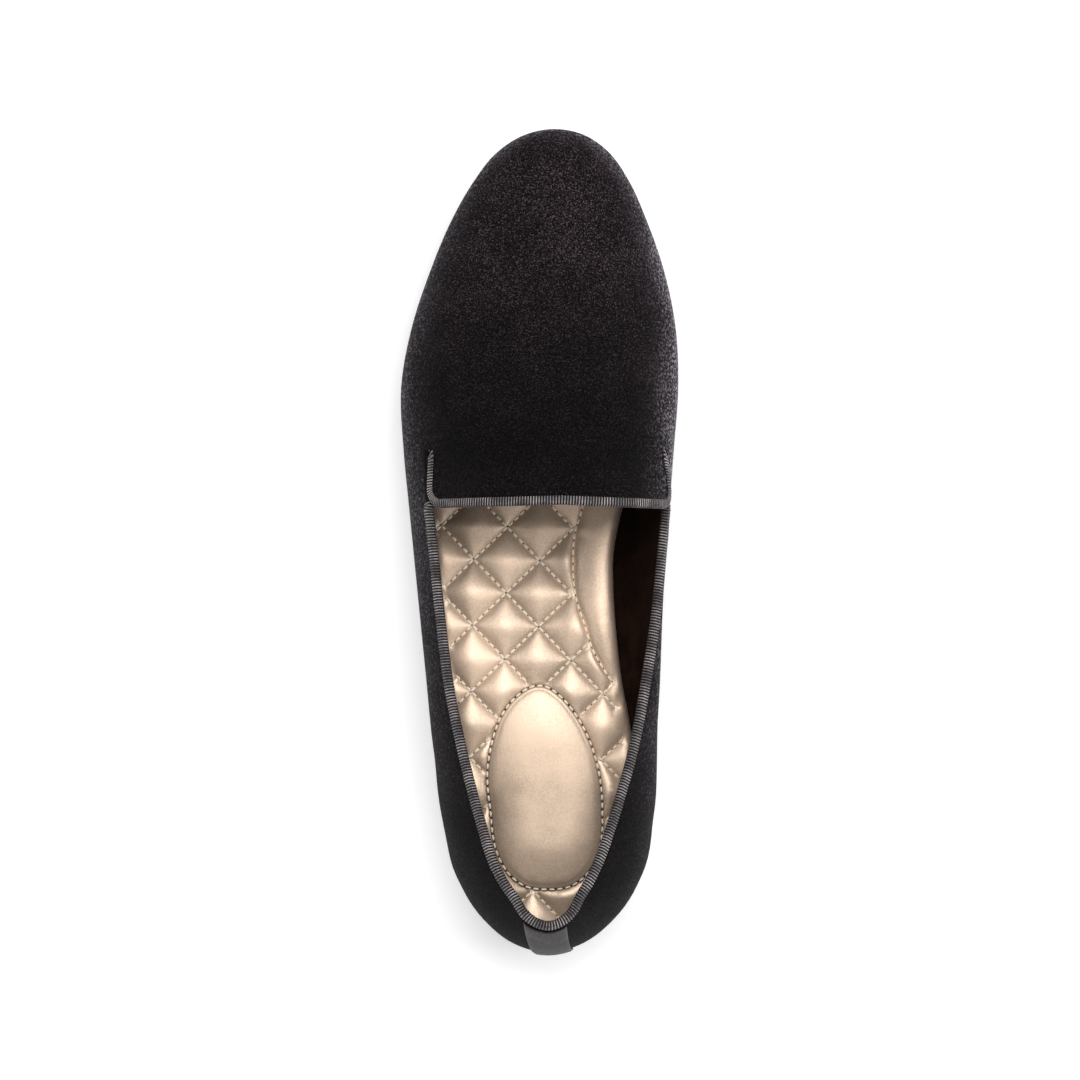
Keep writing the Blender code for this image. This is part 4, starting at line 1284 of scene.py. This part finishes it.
def sock_mesh(sock):
    """Triangulate the sock's upper face, hang its side from it, and close it underneath."""
    rings, inside = sock.plan_points()
    points = np.vstack((*rings, inside))
    count = len(rings[0])
    border = [(k, (k + 1) % count) for k in range(count)]
    found, _, faces, origin, _, _ = delaunay_2d_cdt(
        [Vector(point) for point in points], border, [], 1, 1e-7)
    plan = np.array([tuple(point) for point in found])
    top = np.column_stack((plan, sock.heights(plan)))
    start = {source: k for k, sources in enumerate(origin) for source in sources}
    loop = [start[k] for k in range(count)]
    base = np.column_stack((plan[loop], feather_height(plan[loop][:, 1]) + WALL + CLEARANCE))
    low = [len(top) + k for k in range(count)]
    faces = [tuple(face) for face in faces]
    for k in range(count):
        n = (k + 1) % count
        faces.append((loop[k], loop[n], low[n], low[k]))
    spine = [rib.spine for rib in RIBS[:TIP_RIB + 1]]
    middle = np.array([(p.x, p.y, feather_height(p.y) + WALL + CLEARANCE) for p in spine])
    first = len(top) + count
    ends = [first + min(k, COUNT - k) for k in range(COUNT)]
    for k in range(count):
        n = (k + 1) % count
        face = tuple(dict.fromkeys((low[k], low[n], ends[n], ends[k])))
        if len(face) > 2:
            faces.append(face)
    return np.vstack((top, base, middle)), faces


def shape_of(adder, stretch):
    """Model one small thing with Blender's own primitive, stretched in edit mode, and return its mesh."""
    bpy.ops.object.select_all(action="DESELECT")
    adder()
    piece = bpy.context.active_object
    bpy.ops.object.mode_set(mode="EDIT")
    bpy.ops.mesh.select_all(action="SELECT")
    bpy.ops.transform.resize(value=stretch)
    bpy.ops.object.mode_set(mode="OBJECT")
    points = np.array([tuple(vertex.co) for vertex in piece.data.vertices])
    faces = [tuple(face.vertices) for face in piece.data.polygons]
    mesh = piece.data
    bpy.data.objects.remove(piece, do_unlink=True)
    bpy.data.meshes.remove(mesh)
    return points, faces


def strew(name, shape, places, ways, ups, material):
    """Lay copies of one small shape at places, each along its own way, as one joined piece."""
    points, faces = shape
    vertices, loops = [], []
    for k in range(len(places)):
        way = Vector(ways[k]).normalized()
        up = Vector(ups[k])
        up = (up - way * up.dot(way)).normalized()
        turn = Matrix((way, up.cross(way), up)).transposed()
        vertices.append(points @ np.array(turn).T + np.array(places[k]))
        loops += [tuple(v + k * len(points) for v in face) for face in faces]
    return new_piece(name, np.vstack(vertices), loops, [material])


def lay_stitches(surface, places, ways):
    """Return stitches' middles on a surface, their ways and their ups, and the holes between them."""
    half = looks().stitch_length / 2
    ahead = places + ways * half
    behind = places - ways * half
    z = surface(places)
    slope = (surface(ahead) - surface(behind)) / (2 * half)
    way = np.column_stack((ways, slope))
    way /= np.linalg.norm(way, axis=1)[:, None]
    up = np.tile((0.0, 0.0, 1.0), (len(places), 1))
    middle = np.column_stack((places, z + THREAD_LIFT))
    gap = places + ways * looks().stitch_pitch / 2
    hole = np.column_stack((gap, surface(gap) + HOLE_LIFT))
    return middle, way, up, hole


class SLIPPER_OT_quilted_sock(bpy.types.Operator):
    """Make the quilted satin sock, the heel pad on it, and their stitches"""

    bl_idname = "slipper.quilted_sock"
    bl_label = "Quilted sock and heel pad"

    def execute(self, context):
        sock = Sock()
        vertices, faces = sock_mesh(sock)
        piece = new_piece("quilted_sock", vertices, faces, [satin_shared()],
                          ["insole"])
        outward(piece)
        pad = self.pad(sock)
        self.stitches(sock)
        return {"FINISHED"}

    def pad_height(self, sock, places):
        """Return the height of the pad's upper face over plan points."""
        inside = -sock.pad.measure(places)[0]
        rise = 0.0009 * shoulder(inside / 0.0006)
        rise = rise + 0.0008 * shoulder((inside - 0.0010) / 0.0070)
        back = y_at(PAD[0].along)
        rise = rise + 0.0010 * smoothstep((places[:, 1] - back) / 0.014) * smoothstep(inside / 0.012)
        return insole_top(places[:, 0], places[:, 1]) + CLEARANCE + rise

    def pad(self, sock):
        """Make the pad: a sewn border, then a swell up to a soft crown."""
        outline = np.array([tuple(point) for point in pad_outline()])
        half = len(outline) // 2
        mirror = outline[[-k % len(outline) for k in range(len(outline))]]
        spine = (outline + mirror) / 2
        low, high = spine[:, 1].min() + 0.012, spine[:, 1].max() - 0.010
        spine[:, 1] = np.clip(spine[:, 1], low, high)
        spine[:, 0] = np.interp(spine[:, 1], spine[half::-1, 1][::-1], spine[half::-1, 0][::-1])
        shares = (0.0, 0.02, 0.045, 0.075, 0.11, 0.15, 0.20, 0.27, 0.36, 0.48, 0.62, 0.80, 1.0)
        rows = [outline + (spine - outline) * share for share in shares]
        top = [np.column_stack((row, self.pad_height(sock, row))) for row in rows]
        bottom = [np.column_stack((row, insole_top(row[:, 0], row[:, 1]) + CLEARANCE))
                  for row in (rows[-1], rows[7], rows[0])]
        rings = bottom + top
        count = len(outline)
        faces = []
        for k in range(len(rings) - 1):
            for m in range(count):
                n = (m + 1) % count
                faces.append((k * count + m, k * count + n, (k + 1) * count + n, (k + 1) * count + m))
        piece = new_piece("heel_cushion", np.vstack(rings), faces, [satin_shared()],
                          ["heel_pad"])
        mesh = bmesh.new()
        mesh.from_mesh(piece.data)
        bmesh.ops.remove_doubles(mesh, verts=mesh.verts, dist=2e-5)
        bmesh.ops.holes_fill(mesh, edges=mesh.edges, sides=0)
        bmesh.ops.recalc_face_normals(mesh, faces=mesh.faces)
        mesh.to_mesh(piece.data)
        mesh.free()
        return piece

    def stitches(self, sock):
        """Sew the sock's lines and the pad's border."""
        places, ways = sock.sewn_lines()
        laid = lay_stitches(sock.heights, places, ways)
        inner = Line(smooth_line(
            [Vector(point) for point in self.border(sock)], 240, closed=True), closed=True)
        pitch = looks().stitch_pitch
        steps = int(inner.lengths[-1] / pitch)
        around = [inner.at((step + 0.5) * inner.lengths[-1] / steps) for step in range(steps)]
        pad_places = np.array([place for place, _ in around])
        pad_ways = np.array([way for _, way in around])
        on_pad = lay_stitches(lambda p: self.pad_height(sock, np.asarray(p)), pad_places, pad_ways)
        middle, way, up, hole = (np.vstack(pair) for pair in zip(laid, on_pad))
        half = looks().stitch_length / 2
        capsule = shape_of(
            lambda: bpy.ops.mesh.primitive_uv_sphere_add(segments=8, ring_count=6, radius=1.0,
                                                         rotation=(0.0, pi / 2, 0.0)),
            (half, THREAD_RADIUS, THREAD_RADIUS))
        points, faces = capsule
        points = points / np.maximum(np.abs(points).max(axis=0), 1e-9)
        points = np.sign(points) * np.abs(points) ** np.array((0.7, 1.0, 1.0))
        points = points * np.array((half, THREAD_RADIUS, THREAD_RADIUS))
        strew("quilt_stitches", (points, faces), middle, way, up, thread_material())
        # Dark discs of painted shade in the holes where the thread goes into the satin
        dot = shape_of(
            lambda: bpy.ops.mesh.primitive_ico_sphere_add(subdivisions=1, radius=1.0),
            HOLE_SIZE)
        strew("needle_holes", dot, hole, way, up, hole_shade_material())

    def border(self, sock):
        """Return the pad's line of stitches, in the groove along its outline."""
        outline = np.array([tuple(point) for point in pad_outline()])
        ahead = np.roll(outline, -1, axis=0) - np.roll(outline, 1, axis=0)
        ahead /= np.linalg.norm(ahead, axis=1)[:, None]
        return (outline - 0.0002 * np.column_stack((-ahead[:, 1], ahead[:, 0])))[::4]


class SLIPPER_OT_sole(bpy.types.Operator):
    """Give the outsole and the heel their rubber"""

    bl_idname = "slipper.sole"
    bl_label = "Sole and heel"

    def execute(self, context):
        material = rubber_material()
        for name in ("outsole", "heel"):
            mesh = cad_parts[name].data
            mesh.materials.clear()
            mesh.materials.append(material)
        return {"FINISHED"}


class SLIPPER_OT_stage(bpy.types.Operator):
    """Add the pale floor, the soft lights and the camera over the shoe"""

    bl_idname = "slipper.stage"
    bl_label = "Stage"

    def execute(self, context):
        bpy.ops.object.select_all(action="DESELECT")
        bpy.ops.mesh.primitive_plane_add(size=8.0)
        floor = context.active_object
        floor.name = "floor"
        material, tree, shader, place = new_material("pale_floor")
        out = grain(tree, place, 90.0, 3.0, 0.5)
        tone = ramp(tree, out["Shade"], ((0.2, (0.88, 0.88, 0.88)), (0.8, (0.90, 0.90, 0.90))))
        tree.links.new(tone, shader.inputs["Base Color"])
        shader.inputs["Roughness"].default_value = 0.9
        shader.inputs["Emission Color"].default_value = (1.0, 1.0, 1.0, 1.0)
        shader.inputs["Emission Strength"].default_value = 0.30
        floor.data.materials.append(material)
        self.light("overhead", (0.10, 0.85, 1.75), (0.0, 0.09, 0.0), (1.5, 1.2), 24.0)
        self.light("inner_side", (1.3, 0.20, 0.75), (0.0, 0.09, 0.03), (0.8, 1.2), 9.5)
        self.light("outer_side", (-1.4, 0.15, 0.70), (0.0, 0.09, 0.03), (0.8, 1.2), 3.0)
        self.light("heel_side", (0.1, -1.2, 1.1), (0.0, 0.05, 0.03), (1.2, 0.8), 3.0)
        world = bpy.data.worlds.new("studio")
        world.use_nodes = True
        world.node_tree.nodes["Background"].inputs["Color"].default_value = (1.0, 1.0, 1.0, 1.0)
        world.node_tree.nodes["Background"].inputs["Strength"].default_value = 0.48
        context.scene.world = world
        camera = bpy.data.cameras.new("camera")
        camera.sensor_width = 36.0
        camera.lens = 327.0
        camera.clip_end = 20.0
        eye = bpy.data.objects.new("camera", camera)
        eye.location = (-0.00243, 0.0950, 3.0)
        context.scene.collection.objects.link(eye)
        context.scene.camera = eye
        context.scene.view_settings.view_transform = "Standard"
        return {"FINISHED"}

    def light(self, name, place, aim, size, power):
        """Add a soft rectangular light that the camera doesn't see."""
        lamp = bpy.data.lights.new(name, "AREA")
        lamp.shape = "RECTANGLE"
        lamp.size, lamp.size_y = size
        lamp.energy = power
        item = bpy.data.objects.new(name, lamp)
        item.location = place
        item.rotation_euler = (Vector(aim) - Vector(place)).to_track_quat("-Z", "Y").to_euler()
        item.visible_camera = False
        bpy.context.scene.collection.objects.link(item)


class SLIPPER_PT_looks(bpy.types.Panel):
    """List the shoe's pieces and their sizes"""

    bl_idname = "SLIPPER_PT_looks"
    bl_label = "Slipper loafer"
    bl_space_type = "VIEW_3D"
    bl_region_type = "UI"
    bl_category = "Slipper"

    def draw(self, context):
        for name in SlipperLooks.__annotations__:
            self.layout.prop(context.scene.slipper_looks, name)
        for operator in OPERATORS:
            self.layout.operator(operator.bl_idname)


OPERATORS = (
    SLIPPER_OT_velvet_upper,
    SLIPPER_OT_back_tape,
    SLIPPER_OT_quilted_sock,
    SLIPPER_OT_sole,
    SLIPPER_OT_stage,
)
CLASSES = (SlipperLooks, *OPERATORS, SLIPPER_PT_looks)


def register():
    """Register the classes and the looks of the scene."""
    for each in CLASSES:
        bpy.utils.register_class(each)
    bpy.types.Scene.slipper_looks = PointerProperty(type=SlipperLooks)


def unregister():
    """Take everything out again."""
    del bpy.types.Scene.slipper_looks
    for each in reversed(CLASSES):
        bpy.utils.unregister_class(each)


def main():
    """Dress the shoe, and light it."""
    register()
    bpy.ops.slipper.velvet_upper()
    bpy.ops.slipper.back_tape()
    bpy.ops.slipper.quilted_sock()
    bpy.ops.slipper.sole()
    bpy.ops.slipper.stage()


if __name__ == "__main__":
    main()
